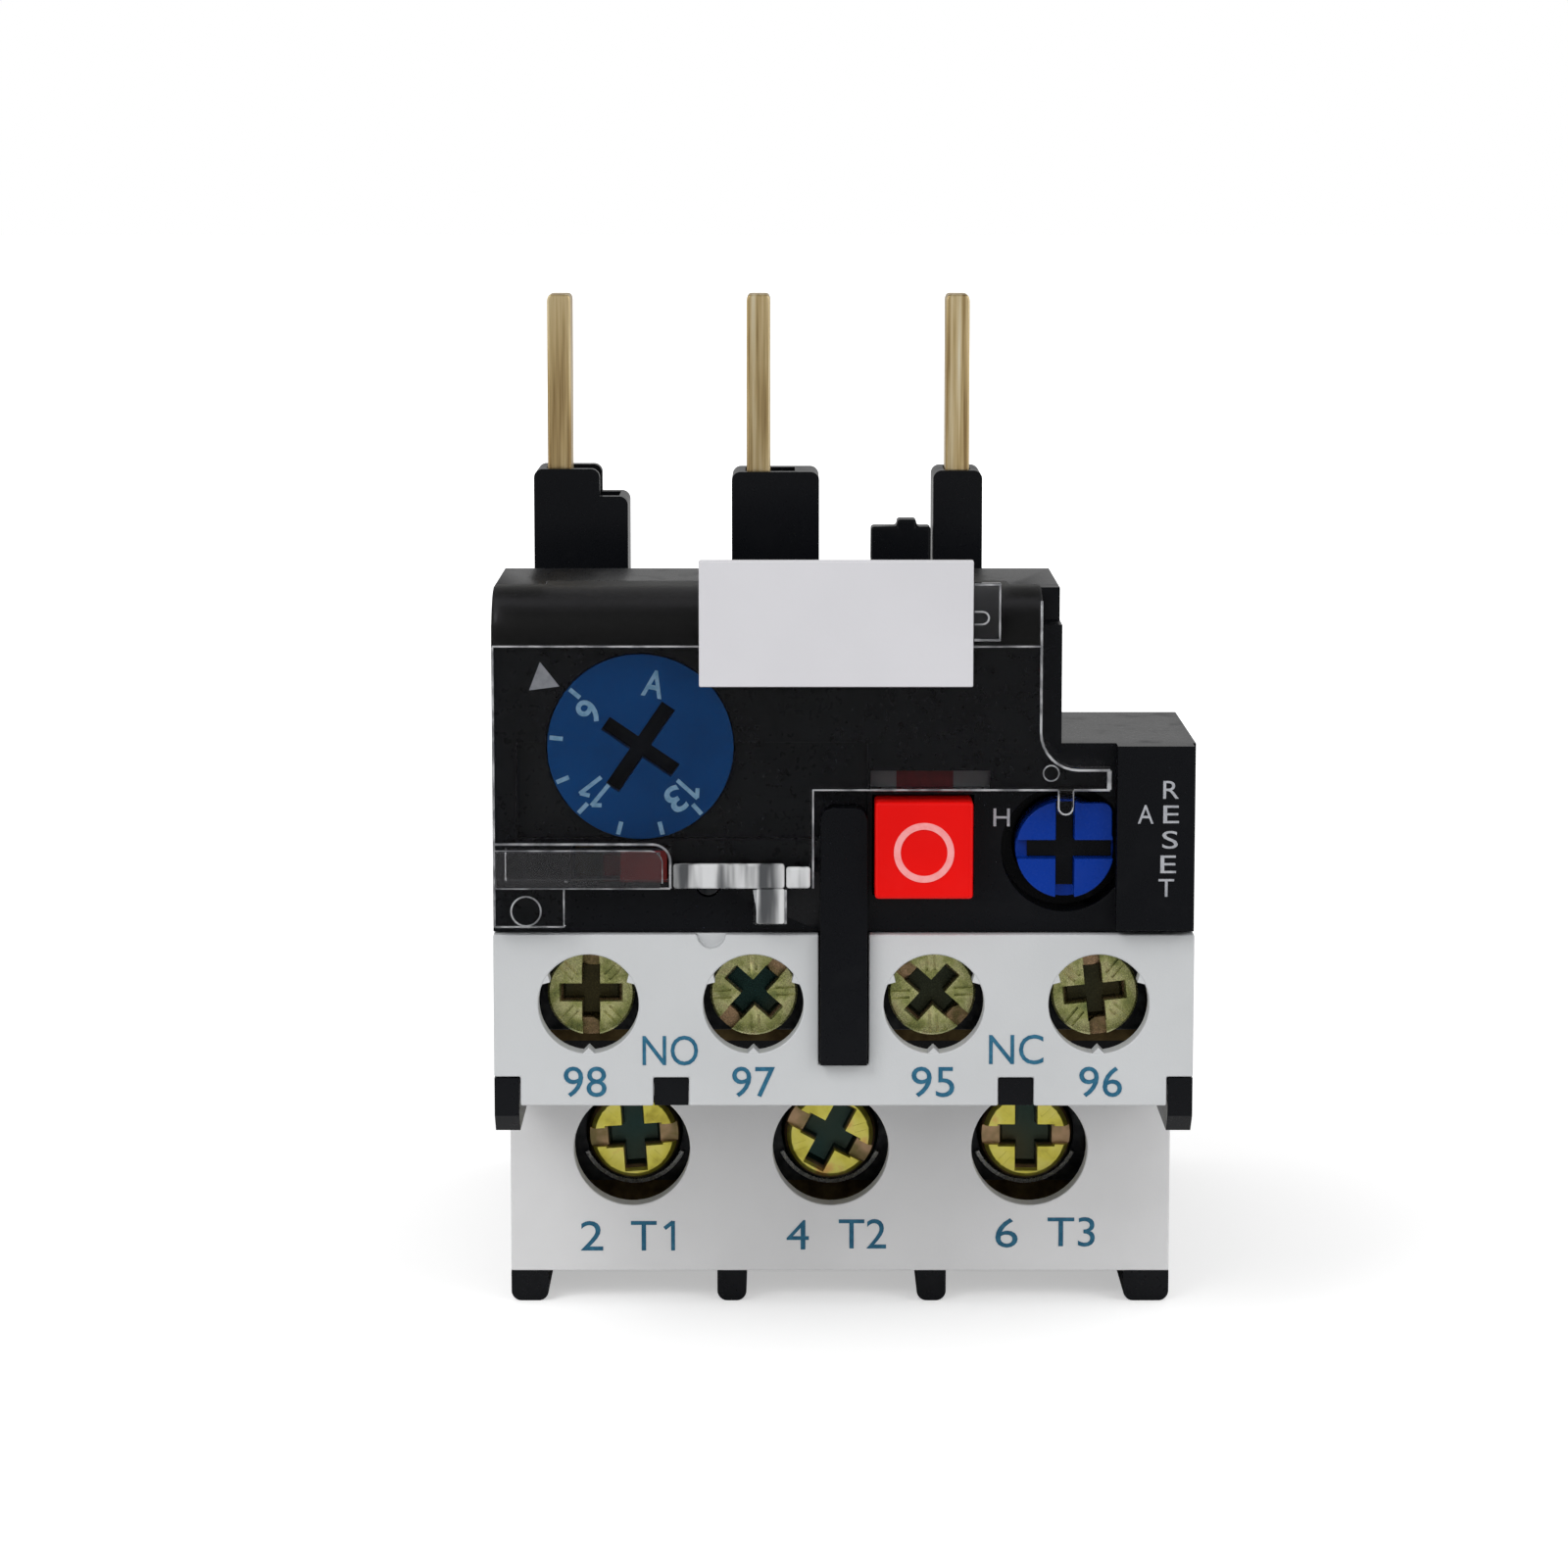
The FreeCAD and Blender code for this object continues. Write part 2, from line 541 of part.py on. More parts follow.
def octagon(u, v, radius):
    """Corners of an octagon whose flats are a radius away."""
    near = radius * math.tan(math.radians(22.5))
    return [(u + a * radius + b * near, v + c * radius + d * near) for a, b, c, d in (
        (1, 0, 0, -1), (1, 0, 0, 1), (0, 1, 1, 0), (0, -1, 1, 0),
        (-1, 0, 0, 1), (-1, 0, 0, -1), (0, -1, -1, 0), (0, 1, -1, 0))]


def face_seats(p, face, inner):
    """Bosses behind the face, then the bores of the dial and both buttons."""
    dial_bore = s.dial_radius + s.running_gap
    corner_share = math.sqrt(2) - 1
    sweep = s.reset_pointer * math.sqrt(2) + s.running_gap - s.reset_pointer_round * corner_share
    half, wall = s.stop_wide / 2 + s.button_gap, s.stop_guide_wall
    p.add("front", inner, deep(s.dial_boss_end),
          octagon(s.dial_x, s.dial_z, dial_bore + s.dial_boss_wall))
    p.add("front", inner, deep(s.stop_guide_end), rect(
        stop_x - half - wall, stop_z - half - wall, stop_x + half + wall, stop_z + half + wall))
    p.add("front", inner, deep(s.reset_boss_end),
          octagon(s.reset_x, s.reset_z, sweep + s.reset_boss_wall))
    p.cut("front", face, deep(s.dial_depth + s.dial_thick + s.running_gap),
          Round(s.dial_x, s.dial_z, dial_bore))
    p.cut("front", face, deep(s.dial_boss_end),
          Round(s.dial_x, s.dial_z, s.dial_shaft_radius + s.pin_clearance))
    p.cut("front", face, deep(s.stop_guide_end - s.stop_guide_floor),
          rect(stop_x - half, stop_z - half, stop_x + half, stop_z + half))
    p.cut("front", face, deep(s.stop_guide_end),
          Round(stop_x, stop_z, s.stop_stem_radius + s.running_gap))
    p.cut("front", face, deep(s.reset_depth + s.reset_pointer_thick + s.button_travel
                              + s.seat_gap), Round(s.reset_x, s.reset_z, sweep))
    p.cut("front", face, deep(s.reset_boss_end - s.reset_floor),
          Round(s.reset_x, s.reset_z, s.reset_radius + s.running_gap))
    p.cut("front", face, deep(s.reset_boss_end),
          Round(s.reset_x, s.reset_z, s.reset_stem_radius + s.running_gap))


def slots_in_face(p, face, inner):
    """Slot of the test slider, and the window and track of the trip flag."""
    gap = s.test_slot_gap
    p.cut("front", face, inner, rect(
        s.test_left - s.test_travel - gap, s.test_low - gap,
        s.test_left + s.test_wide + gap, s.test_high + gap))
    p.cut("front", face, inner, rect(s.flag_left, s.flag_low, s.flag_right, s.flag_high))
    p.cut("front", deep(s.face_depth + s.flag_wall), inner, rect(
        s.flag_left - s.flag_margin - s.seat_gap, s.flag_bottom - s.running_gap,
        s.flag_right + s.flag_margin + s.seat_gap, s.flag_arm_high + s.running_gap))
    p.cut("front", face, deep(s.lever_start - s.seat_gap),
          Round(lever_pivot_x, s.lever_pivot_z, s.lever_pin_radius + s.pin_clearance))


def mechanism_cover():
    """Plate that closes the back of the mechanism case."""
    p = Piece("mechanism_cover")
    room = half_wide - s.wall - s.running_gap
    low, back = deck_high + s.running_gap, deep(s.front_back_depth)
    inside = s.tall_right - s.wall - s.running_gap
    p.add("front", back - s.wall, back, [
        (-room, low), (room, low), (room, s.right_chamber_high - s.running_gap),
        (inside, s.right_chamber_high - s.running_gap),
        (inside, s.chamber_high - s.running_gap), (-room, s.chamber_high - s.running_gap)])
    p.cut("front", back - s.wall, back,
          rect(s.window_left, s.window_low, s.window_right, s.window_high))
    return done(p)


def aux_terminal_cover():
    """Grey plate with four screwdriver holes in front of the auxiliary terminals."""
    p = Piece("aux_terminal_cover")
    front = deep(s.aux_cover_depth)
    back = front + s.aux_cover_thick
    edge = half_wide - s.ear_wide - s.running_gap
    notch = s.ear_high + s.running_gap
    p.add("front", front, back, [
        (-edge, s.front_low), (edge, s.front_low), (edge, notch), (half_wide, notch),
        (half_wide, s.aux_cover_high), (-half_wide, s.aux_cover_high),
        (-half_wide, notch), (-edge, notch)])
    p.cut("front", front, back, *[Round(x, s.aux_z, s.aux_hole_radius) for x in aux_places])
    half = s.barrier_wide / 2 + s.barrier_gap
    p.cut("front", front, back,
          rect(-half, s.barrier_low - s.barrier_gap, half, s.aux_cover_high))
    for x in (-s.aux_wall_middle, s.aux_wall_middle):
        lug = s.lug_wide / 2 + s.lug_slot_gap
        p.cut("front", front, back, rect(
            x - lug, s.front_low, x + lug, s.front_low + s.lug_high + s.lug_slot_gap))
    p.cut("front", front, front + s.dent_deep, Round(s.dent_x, s.aux_cover_high, s.dent_radius))
    return done(p)


def main_terminal_cover():
    """Grey plate with three screwdriver holes in front of the main terminals."""
    p = Piece("main_terminal_cover")
    front, back = deep(s.main_cover_depth), deep(s.rear_step_depth)
    p.add("front", front, back, rect(-half_wide, s.rear_low, half_wide, s.main_cover_high))
    p.cut("front", front, back, *[Round(x, s.main_z, s.main_hole_radius) for x in main_places])
    return done(p)


def clear_cover():
    """Transparent flap over the dial, hinged along its top edge."""
    p = Piece("clear_cover")
    front = deep(s.cover_depth)
    back = front + s.cover_thick
    left, top = s.cover_left, s.cover_top
    p.add("front", front, back, [
        (left, s.corner_tab_low), (s.corner_tab_right, s.corner_tab_low),
        (s.corner_tab_right, s.cover_low), (s.tongue_left, s.cover_low),
        (s.tongue_left, s.tongue_low), (s.tongue_right, s.tongue_low),
        (s.tongue_right, s.cover_low), (s.cover_step_x, s.cover_low),
        (s.cover_step_x, s.cover_step_z), (s.cover_tab_right, s.cover_step_z),
        (s.cover_tab_right, s.cover_tab_high), (s.cover_right, s.cover_tab_high),
        (s.cover_right, top), (left, top)])
    p.round("y", s.cover_tab_round, (s.cover_right, s.cover_tab_high))
    under = top - s.cover_thick
    axis = deep(s.hinge_depth)
    p.add("top", under, top, rect(left, front, s.cover_right, deep(s.hinge_lug_depth - s.seat_gap)))
    barrel_left = -half_wide + s.hinge_lug_wide + s.running_gap
    barrel_right = s.tall_right - s.hinge_lug_wide - s.running_gap
    p.add("top", under, top, rect(barrel_left, front, barrel_right, axis))
    p.round("x", s.cover_round, (front, top))
    p.round("x", s.cover_round - s.cover_thick, (back, under))
    p.add("side", barrel_left, barrel_right, Round(axis, s.hinge_z, s.hinge_radius))
    stub = s.hinge_stub - s.running_gap * 2
    p.add("side", barrel_left - stub, barrel_right + stub,
          Round(axis, s.hinge_z, s.hinge_pin_radius))
    p.cut("front", front, back, rect(s.cover_window_left, s.cover_window_low,
                                     s.cover_window_right, s.cover_window_high))
    p.add("front", front, front + s.prong_thick,
          rect(s.prong_left, s.prong_low, s.prong_right, s.cover_step_z))
    return done(p)


def marker_parts():
    """Clear holder on the cover, and the blank marker plate clipped to it."""
    p = Piece("marker_holder")
    front = deep(s.marker_thick)
    back = front + s.holder_thick
    p.add("front", front, back, [
        (s.marker_left, s.marker_low + s.seat_gap), (s.marker_right, s.marker_low + s.seat_gap),
        (s.marker_right, s.holder_low), (s.holder_right, s.holder_low),
        (s.holder_right, s.holder_high), (s.marker_left, s.holder_high)])
    done(p)
    p = Piece("marker_plate")
    p.add("front", deep(0), front,
          rect(s.marker_left, s.marker_low, s.marker_right, s.marker_high))
    return done(p)


def current_dial():
    """Dial with a screwdriver slot, a shaft and an eccentric cam."""
    p = Piece("current_dial", s.dial_x, deep(s.dial_depth), s.dial_z)
    p.add("front", 0, s.dial_thick, Round(0, 0, s.dial_radius))
    shaft = s.dial_shaft_end - s.dial_depth
    p.add("front", s.dial_thick, shaft, Round(0, 0, s.dial_shaft_radius))
    p.add("front", shaft - s.cam_thick, shaft, Round(s.cam_throw, 0, s.cam_radius))
    for long, turned in ((s.dial_slot_long, 0), (s.dial_slot_short, 90)):
        angle = math.radians(SIZES["dial_slot_angle"] + turned)
        across = (math.cos(angle), math.sin(angle))
        length, half = long / 2, s.dial_slot_wide / 2
        p.cut("front", 0, s.dial_slot_deep, [
            (length * a * across[0] - half * b * across[1],
             length * a * across[1] + half * b * across[0])
            for a, b in ((-1, -1), (1, -1), (1, 1), (-1, 1))])
    return done(p)


def adjusting_parts():
    """Lever that follows the cam, with its pin and the compensation strip."""
    p = Piece("adjusting_lever")
    low, high = deep(s.lever_start), deep(s.lever_end)
    x, z, half = lever_pivot_x, s.lever_pivot_z, s.lever_half
    p.add("front", low, high, Round(x, z, s.lever_eye_radius))
    p.add("front", low, high, rect(x - half, z, x + half, s.lever_top))
    p.cut("front", low, high, Round(x, z, s.lever_pin_radius + s.pin_clearance))
    done(p)
    p = Piece("adjusting_pin")
    p.add("front", deep(s.face_depth + s.running_gap), high, Round(x, z, s.lever_pin_radius))
    done(p)
    p = Piece("compensation_bimetal")
    near = x + half + s.strip_gap
    foot = z + s.lever_eye_radius + s.seat_gap
    p.add("top", foot, s.lever_top,
          rect(near, low, near + s.strip_thick, low + s.strip_deep))
    p.add("top", foot, foot + s.strip_thick,
          rect(x + half, low, near + s.strip_thick, high))
    return done(p)


def spring(name, x, start, end, z, radius):
    """Compression spring between two depths, wound about Y."""
    room = as_size(end) - start - s.spring_wire - s.running_gap * 2
    middle = FreeCAD.Vector(
        as_size(x).number, deep(end - s.running_gap).number, as_size(z).number)
    turned = FreeCAD.Rotation(FreeCAD.Vector(1, 0, 0), 90)
    half = s.spring_wire / 2
    return winding(name, round_turn(radius - half), round_turn(radius + half), s.spring_wire,
                   room / s.spring_turns, SIZES["spring_turns"],
                   FreeCAD.Placement(middle, turned))


def stop_button():
    """Red stop push button with a stem, and its spring."""
    p = Piece("stop_button", stop_x, deep(s.stop_depth), stop_z)
    half = s.stop_wide / 2
    p.add("front", 0, s.stop_long, rect(-half, -half, half, half))
    p.add("front", s.stop_long, s.stop_stem_end - s.stop_depth,
          Round(0, 0, s.stop_stem_radius))
    done(p)
    back = s.stop_depth + s.stop_long
    spring("stop_button_spring", stop_x, back, s.stop_guide_end - s.stop_guide_floor,
           stop_z, s.stop_stem_radius + s.spring_wire)


def reset_parts():
    """Selector knob on a push plunger, with the return spring."""
    p = Piece("reset_knob", s.reset_x, deep(s.reset_depth), s.reset_z)
    p.add("front", 0, s.reset_thick, Round(0, 0, s.reset_radius))
    p.add("front", 0, s.reset_pointer_thick, rect(0, 0, s.reset_pointer, s.reset_pointer))
    p.round("y", s.reset_pointer_round, (s.reset_pointer, s.reset_pointer))
    half, reach = s.reset_slot_wide / 2, s.reset_radius + s.seat_gap
    p.cut("front", 0, s.reset_slot_deep, rect(-reach, -half, reach, half))
    p.cut("front", 0, s.reset_slot_deep, rect(-half, -reach, half, reach))
    done(p)
    back = s.reset_depth + s.reset_thick + s.running_gap
    p = Piece("reset_plunger", s.reset_x, deep(back), s.reset_z)
    p.add("front", 0, s.reset_disc_thick, Round(0, 0, s.reset_radius - s.running_gap))
    p.add("front", s.reset_disc_thick, s.reset_stem_end - back,
          Round(0, 0, s.reset_stem_radius))
    done(p)
    spring("reset_spring", s.reset_x, back + s.reset_disc_thick,
           s.reset_boss_end - s.reset_floor, s.reset_z,
           s.reset_stem_radius + s.spring_wire)


def test_slider():
    """Red test slider with a foot that holds it behind the face."""
    p = Piece("test_slider")
    wall = deep(s.face_depth + s.front_wall) + s.test_slot_gap
    left, right = s.test_left, s.test_left + s.test_wide
    p.add("front", deep(s.test_depth), deep(s.face_depth + s.front_wall),
          rect(left, s.test_low, right, s.test_high))
    p.add("front", deep(s.test_depth), wall, rect(left, s.test_low, right, s.test_foot_high))
    p.add("front", wall, wall + s.test_foot_thick, rect(
        left - s.test_foot_extra, s.test_foot_low,
        right + s.test_foot_extra, s.test_foot_high))
    return done(p)


def trip_indicator():
    """Flag strip behind its window, with the arm that ties it to the carrier."""
    p = Piece("trip_indicator")
    front = deep(s.face_depth + s.flag_wall) + s.running_gap
    left, right = s.flag_left - s.flag_margin + s.bar_travel / 2, s.flag_right + s.flag_margin
    p.add("front", front, front + s.flag_thick, rect(
        left, s.flag_bottom, right, s.flag_arm_high - s.flag_thick))
    p.add("front", front, deep(s.carrier_depth), rect(
        s.flag_arm_left, s.carrier_high + s.running_gap, s.flag_arm_left + s.flag_arm_wide,
        s.flag_arm_high))
    return done(p)


def contact_carrier():
    """Sliding carrier with two notches for the contact blades and a driven leg."""
    p = Piece("contact_carrier")
    front, back = deep(s.carrier_depth), deep(s.carrier_depth + s.carrier_deep)
    right = s.trip_pivot_x - s.trip_arm_half - s.seat_gap
    p.add("front", front, back, rect(s.carrier_left, s.carrier_low, right, s.carrier_high))
    p.add("front", front, back, rect(
        right - s.carrier_leg_wide, s.carrier_leg_low, right, s.carrier_low))
    half = s.notch_wide / 2
    for x in blade_places:
        p.cut("front", front, front + s.notch_deep,
              rect(x - half, s.carrier_low, x + half, s.carrier_high))
    p.add("front", front, back, rect(
        s.flag_arm_left, s.carrier_high, s.flag_arm_left + s.flag_arm_wide, s.flag_arm_high))
    return done(p)


def moving_contact(name, x, side):
    """Spring blade on an inner terminal, with its silver button on one side."""
    p = Piece(name)
    half = s.blade_thick / 2
    front = deep(s.aux_plate_depth)
    middle = front + s.aux_plate_thick / 2
    p.add("top", s.tail_high + s.blade_gap, s.blade_high,
          rect(x - half, front, x + half, front + s.blade_deep))
    near, far = x + half * side, x + (half + s.contact_thick) * side
    p.add("side", min(near, far, key=number_of), max(near, far, key=number_of),
          Round(middle, s.contact_z, s.contact_radius))
    return done(p)


def terminal(name, x, reach=None):
    """Brass terminal plate with a tail into the mechanism case."""
    p = Piece(name)
    front = deep(s.aux_plate_depth)
    back = front + s.aux_plate_thick
    half, tail = s.aux_plate_half, s.tail_half
    p.add("front", front, back, rect(x - half, s.aux_plate_low, x + half,
                                     s.deck_low - s.running_gap))
    top = s.tail_high if reach is None else s.arm_high
    p.add("front", front, back, rect(x - tail, s.deck_low - s.running_gap, x + tail, top))
    if reach is not None:
        low, high = (x - tail, reach) if reach.number > x.number else (reach, x + tail)
        p.add("front", front, back, rect(low, s.arm_low, high, s.arm_high))
    p.cut("front", front, back, octagon(x, s.aux_z, s.aux_shank_radius + s.pin_clearance))
    return done(p)


def aux_contacts():
    """Four terminals and the two moving contacts between them."""
    reach = s.blade_thick / 2 + s.contact_thick
    open_blade, closed_blade = blade_places
    terminal("terminal_98", -s.aux_x_outer, open_blade - reach - s.open_gap)
    terminal("terminal_97", -s.aux_x_inner)
    terminal("terminal_95", s.aux_x_inner)
    terminal("terminal_96", s.aux_x_outer, closed_blade + reach + s.closed_gap)
    moving_contact("no_moving_contact", open_blade, -1)
    moving_contact("nc_moving_contact", closed_blade, 1)


def screw_at(name, x, z, depth, head_radius, head_thick, shank_radius, shank_end):
    """Terminal screw: a cheese head with a slot and a cross, and its shank."""
    p = Piece(name, x, deep(depth), z)
    end = as_size(shank_end) - depth
    p.turn("side", 0, "H_Axis", [
        (0, 0), (0, head_radius), (head_thick, head_radius), (head_thick, shank_radius),
        (end, shank_radius), (end, 0)])
    half, arm = s.drive_half, head_radius - s.drive_rim
    over = head_radius + s.running_gap
    p.cut("front", 0, s.slot_deep, rect(-half, -over, half, over))
    p.cut("front", 0, s.drive_deep, [
        (-half, -arm), (half, -arm), (half, -half), (arm, -half), (arm, half), (half, half),
        (half, arm), (-half, arm), (-half, half), (-arm, half), (-arm, -half), (-half, -half)])
    return p


def washer_at(name, x, z, depth, thick, half_x, low, high, hole):
    """Square clamp washer with an eight-sided hole."""
    p = Piece(name, x, deep(depth), z)
    p.add("front", 0, thick, rect(-half_x, -low, half_x, high))
    p.cut("front", 0, thick, octagon(0, 0, hole))
    return p


def fasteners():
    """Clamp screws and washers of all seven terminals."""
    screws, washers = [], []
    for number, x in enumerate(aux_places, start=1):
        screws.append(screw_at(
            "aux_screw_%d" % number, x, s.aux_z, s.aux_head_depth, s.aux_head_radius,
            s.aux_head_thick, s.aux_shank_radius, s.aux_shank_end))
        washers.append(washer_at(
            "aux_washer_%d" % number, x, s.aux_z, s.aux_head_depth + s.aux_head_thick,
            s.aux_washer_thick, s.aux_washer_half, s.aux_head_radius, s.aux_head_radius,
            s.aux_shank_radius + s.pin_clearance))
    group("aux_terminal_screws", screws)
    group("aux_clamp_washers", washers)
    screws, washers = [], []
    for number, x in enumerate(main_places, start=1):
        screws.append(screw_at(
            "main_screw_%d" % number, x, s.main_z, s.main_head_depth, s.main_head_radius,
            s.main_head_thick, s.main_shank_radius, s.main_shank_end))
        washers.append(washer_at(
            "main_washer_%d" % number, x, s.main_z, s.main_head_depth + s.main_head_thick,
            s.main_washer_thick, s.main_washer_half, s.main_washer_low,
            s.main_washer_high, s.main_shank_radius + s.pin_clearance))
    group("main_terminal_screws", screws)
    group("main_clamp_washers", washers)


def rear_housing():
    """The black rear moulding: three pole rooms, feet, roof and pin guides."""
    p = Piece("rear_housing")
    front, step, back = (deep(s.rear_front_depth), deep(s.rear_step_depth),
                         deep(s.overall_deep))
    p.add("side", -half_wide, half_wide, [
        (step, s.rear_low), (back, s.rear_low), (back, s.rear_back_high - s.back_bevel),
        (back - s.back_bevel, s.rear_back_high), (deep(s.roof_step_back), s.rear_back_high),
        (deep(s.roof_step_front), s.rear_high), (front, s.rear_high),
        (front, s.rear_step_high), (step, s.rear_step_high)])
    floor = s.rear_low + s.rear_floor
    deck = s.shelf_bottom + s.shelf_thick
    inner = deep(s.rear_front_depth) + s.wall
    wall = deep(s.terminal_wall_depth)
    rest = back - s.wall
    room = half_wide - s.wall
    for low, high in pole_rooms:
        p.cut("side", low, high, [
            (wall + s.terminal_wall_thick, floor), (rest, floor), (rest, s.pole_wall_high),
            (inner, s.pole_wall_high), (inner, deck), (wall + s.terminal_wall_thick, deck)])
        p.cut("side", low, high, rect(step, floor, wall, s.shelf_bottom))
    low_roof = s.rear_back_high - s.roof_thick
    p.cut("side", -room, room, [
        (inner, s.pole_wall_high), (rest, s.pole_wall_high), (rest, low_roof - s.back_bevel),
        (rest - s.back_bevel, low_roof), (deep(s.roof_step_back) - s.roof_thick, low_roof),
        (deep(s.roof_step_front) - s.roof_thick, s.rear_high - s.roof_thick),
        (inner, s.rear_high - s.roof_thick)])
    p.cut("front", front, inner, rect(s.window_left, s.window_low, s.window_right, s.window_high))
    for x in main_places:
        p.cut("top", s.rear_low, floor,
              rect(x - s.entry_half, step, x + s.entry_half, deep(s.entry_end)))
        half = s.leg_half + s.leg_gap
        p.cut("front", wall, wall + s.terminal_wall_thick,
              rect(x - half, floor, x + half, floor + s.main_plate_thick + s.leg_gap))
    panels(p, back)
    feet(p)
    pin_guides(p)
    lever_pillar(p, deck)
    return done(p)


def panels(p, back):
    """Sunk grip panels in both sides, and blind cooling grooves in the back."""
    side = rect(deep(s.panel_start), s.panel_low, deep(s.panel_end), s.panel_high)
    p.cut("side", -half_wide, s.panel_deep - half_wide, side)
    p.cut("side", half_wide - s.panel_deep, half_wide, side)
    grooves = [x + s.groove_pitch * n for x in main_places for n in (-1, 0, 1)]
    half = s.groove_wide / 2
    p.cut("front", back - s.panel_deep, back,
          *[rect(x - half, s.groove_low, x + half, s.groove_high) for x in grooves])


def feet(p):
    """Four standing ribs under the walls."""
    start, end = deep(s.foot_start_depth), deep(s.foot_end_depth)
    walls = [(-half_wide, -half_wide + s.foot_outer_left), pole_edges[1:3], pole_edges[3:5],
             (half_wide - s.foot_outer_right, half_wide)]
    p.add("top", 0, s.rear_low, *[rect(low, start, high, end) for low, high in walls])
    p.round("y", s.foot_round, *[(x, 0) for pair in walls for x in pair])


def pin_guides(p):
    """Guides that stand round the three connection pins."""
    low = s.rear_high - s.roof_thick
    front, back = deep(s.guide_depth), deep(s.guide_depth + s.guide_deep)
    guides = [(s.guide_left_a, s.guide_left_b, s.guide_left_high),
              (s.guide_middle_a, s.guide_middle_b, s.guide_middle_high),
              (s.guide_right_a, s.guide_right_b, s.guide_right_high)]
    p.add("top", s.rear_high, s.guide_left_step,
          rect(s.guide_left_a, front, s.guide_left_c, back))
    for left, right, high in guides:
        p.add("top", s.rear_high, high, rect(left, front, right, back))
        p.round("y", s.guide_round, (left, high), (right, high))
    p.round("y", s.guide_round, (s.guide_left_c, s.guide_left_step))
    gap = s.running_gap
    half = s.pin_wide / 2 + gap
    y_low, y_high = deep(s.pin_depth) - gap, deep(s.pin_depth + s.pin_deep) + gap
    for x, travel in ((s.pin_x_left, s.pin_left_travel), (s.pin_x_middle, s.pin_middle_travel),
                      (s.pin_x_right, 0)):
        p.cut("top", low, s.guide_left_high, rect(x - half, y_low, x + half + travel, y_high))


def lever_pillar(p, deck):
    """Pillar under the trip lever, with a bore for its pin, and a boss in the roof."""
    x, y = s.trip_pivot_x, deep(s.trip_pivot_depth)
    under_roof = s.rear_high - s.roof_thick
    p.add("top", deck, s.trip_low - s.seat_gap, Round(x, y, s.pillar_radius))
    p.add("top", s.trip_low + s.trip_thick + s.seat_gap, under_roof,
          Round(x, y, s.pillar_radius))
    p.cut("top", s.trip_pin_low, under_roof, Round(x, y, s.trip_pin_radius + s.pin_clearance))


def load_terminal(name, x):
    """Bent brass terminal: a clamp plate in front and a leg to the bimetal."""
    p = Piece(name)
    front = deep(s.main_plate_depth)
    floor = s.rear_low + s.rear_floor
    half = s.main_plate_half
    p.add("front", front, front + s.main_plate_thick, rect(x - half, floor, x + half,
                                                           s.main_plate_high))
    p.cut("front", front, front + s.main_plate_thick,
          octagon(x, s.main_z, s.main_shank_radius + s.pin_clearance))
    p.add("top", floor, floor + s.main_plate_thick,
          rect(x - s.leg_half, front + s.main_plate_thick, x + s.leg_half, deep(s.leg_end)))
    return done(p)


def bimetal_set(number, x):
    """Bimetal strip, its insulating sleeve and the heater ribbon wound round it."""
    y = deep(s.bimetal_depth + s.bimetal_deep / 2)
    foot = s.rear_low + s.rear_floor + s.main_plate_thick + s.seat_gap
    half, deep_half = s.bimetal_thick / 2, s.bimetal_deep / 2
    p = Piece("bimetal_strip_%d" % number, x, y, foot)
    p.add("top", 0, s.bimetal_top - foot, rect(-half, -deep_half, half, deep_half))
    done(p)
    p = Piece("insulating_sleeve_%d" % number, x, y, s.sleeve_low)
    wall = s.sleeve_wall
    p.add("top", 0, s.sleeve_high - s.sleeve_low, rect(
        -half - s.sleeve_gap - wall, -deep_half - s.sleeve_gap - wall,
        half + s.sleeve_gap + wall, deep_half + s.sleeve_gap + wall), rect(
        -half - s.sleeve_gap, -deep_half - s.sleeve_gap,
        half + s.sleeve_gap, deep_half + s.sleeve_gap))
    done(p)
    near = s.sleeve_gap + wall + s.ribbon_gap
    foot = FreeCAD.Vector(x.number, y.number, (s.sleeve_low + s.running_gap).number)
    return winding("heater_ribbon_%d" % number, flat_turn(half + near, deep_half + near),
                   flat_turn(half + near + s.ribbon_thick, deep_half + near + s.ribbon_thick),
                   s.ribbon_wide, s.ribbon_pitch, SIZES["ribbon_turns"],
                   FreeCAD.Placement(foot, FreeCAD.Rotation()))


def slide_bar(name, depth, side, right):
    """Slide bar over the bimetal tips, with a finger beside each strip."""
    p = Piece(name)
    front, back = deep(depth), deep(depth + s.bar_deep)
    p.add("front", front, back, rect(s.bar_left, s.bar_low, right, s.bar_low + s.bar_thick))
    for x in bimetal_places:
        near = x + (s.bimetal_thick / 2 + s.finger_gap) * side
        far = near + s.finger_wide * side
        p.add("front", front, back, rect(
            min(near, far, key=number_of), s.finger_low,
            max(near, far, key=number_of), s.bar_low))
    return done(p)


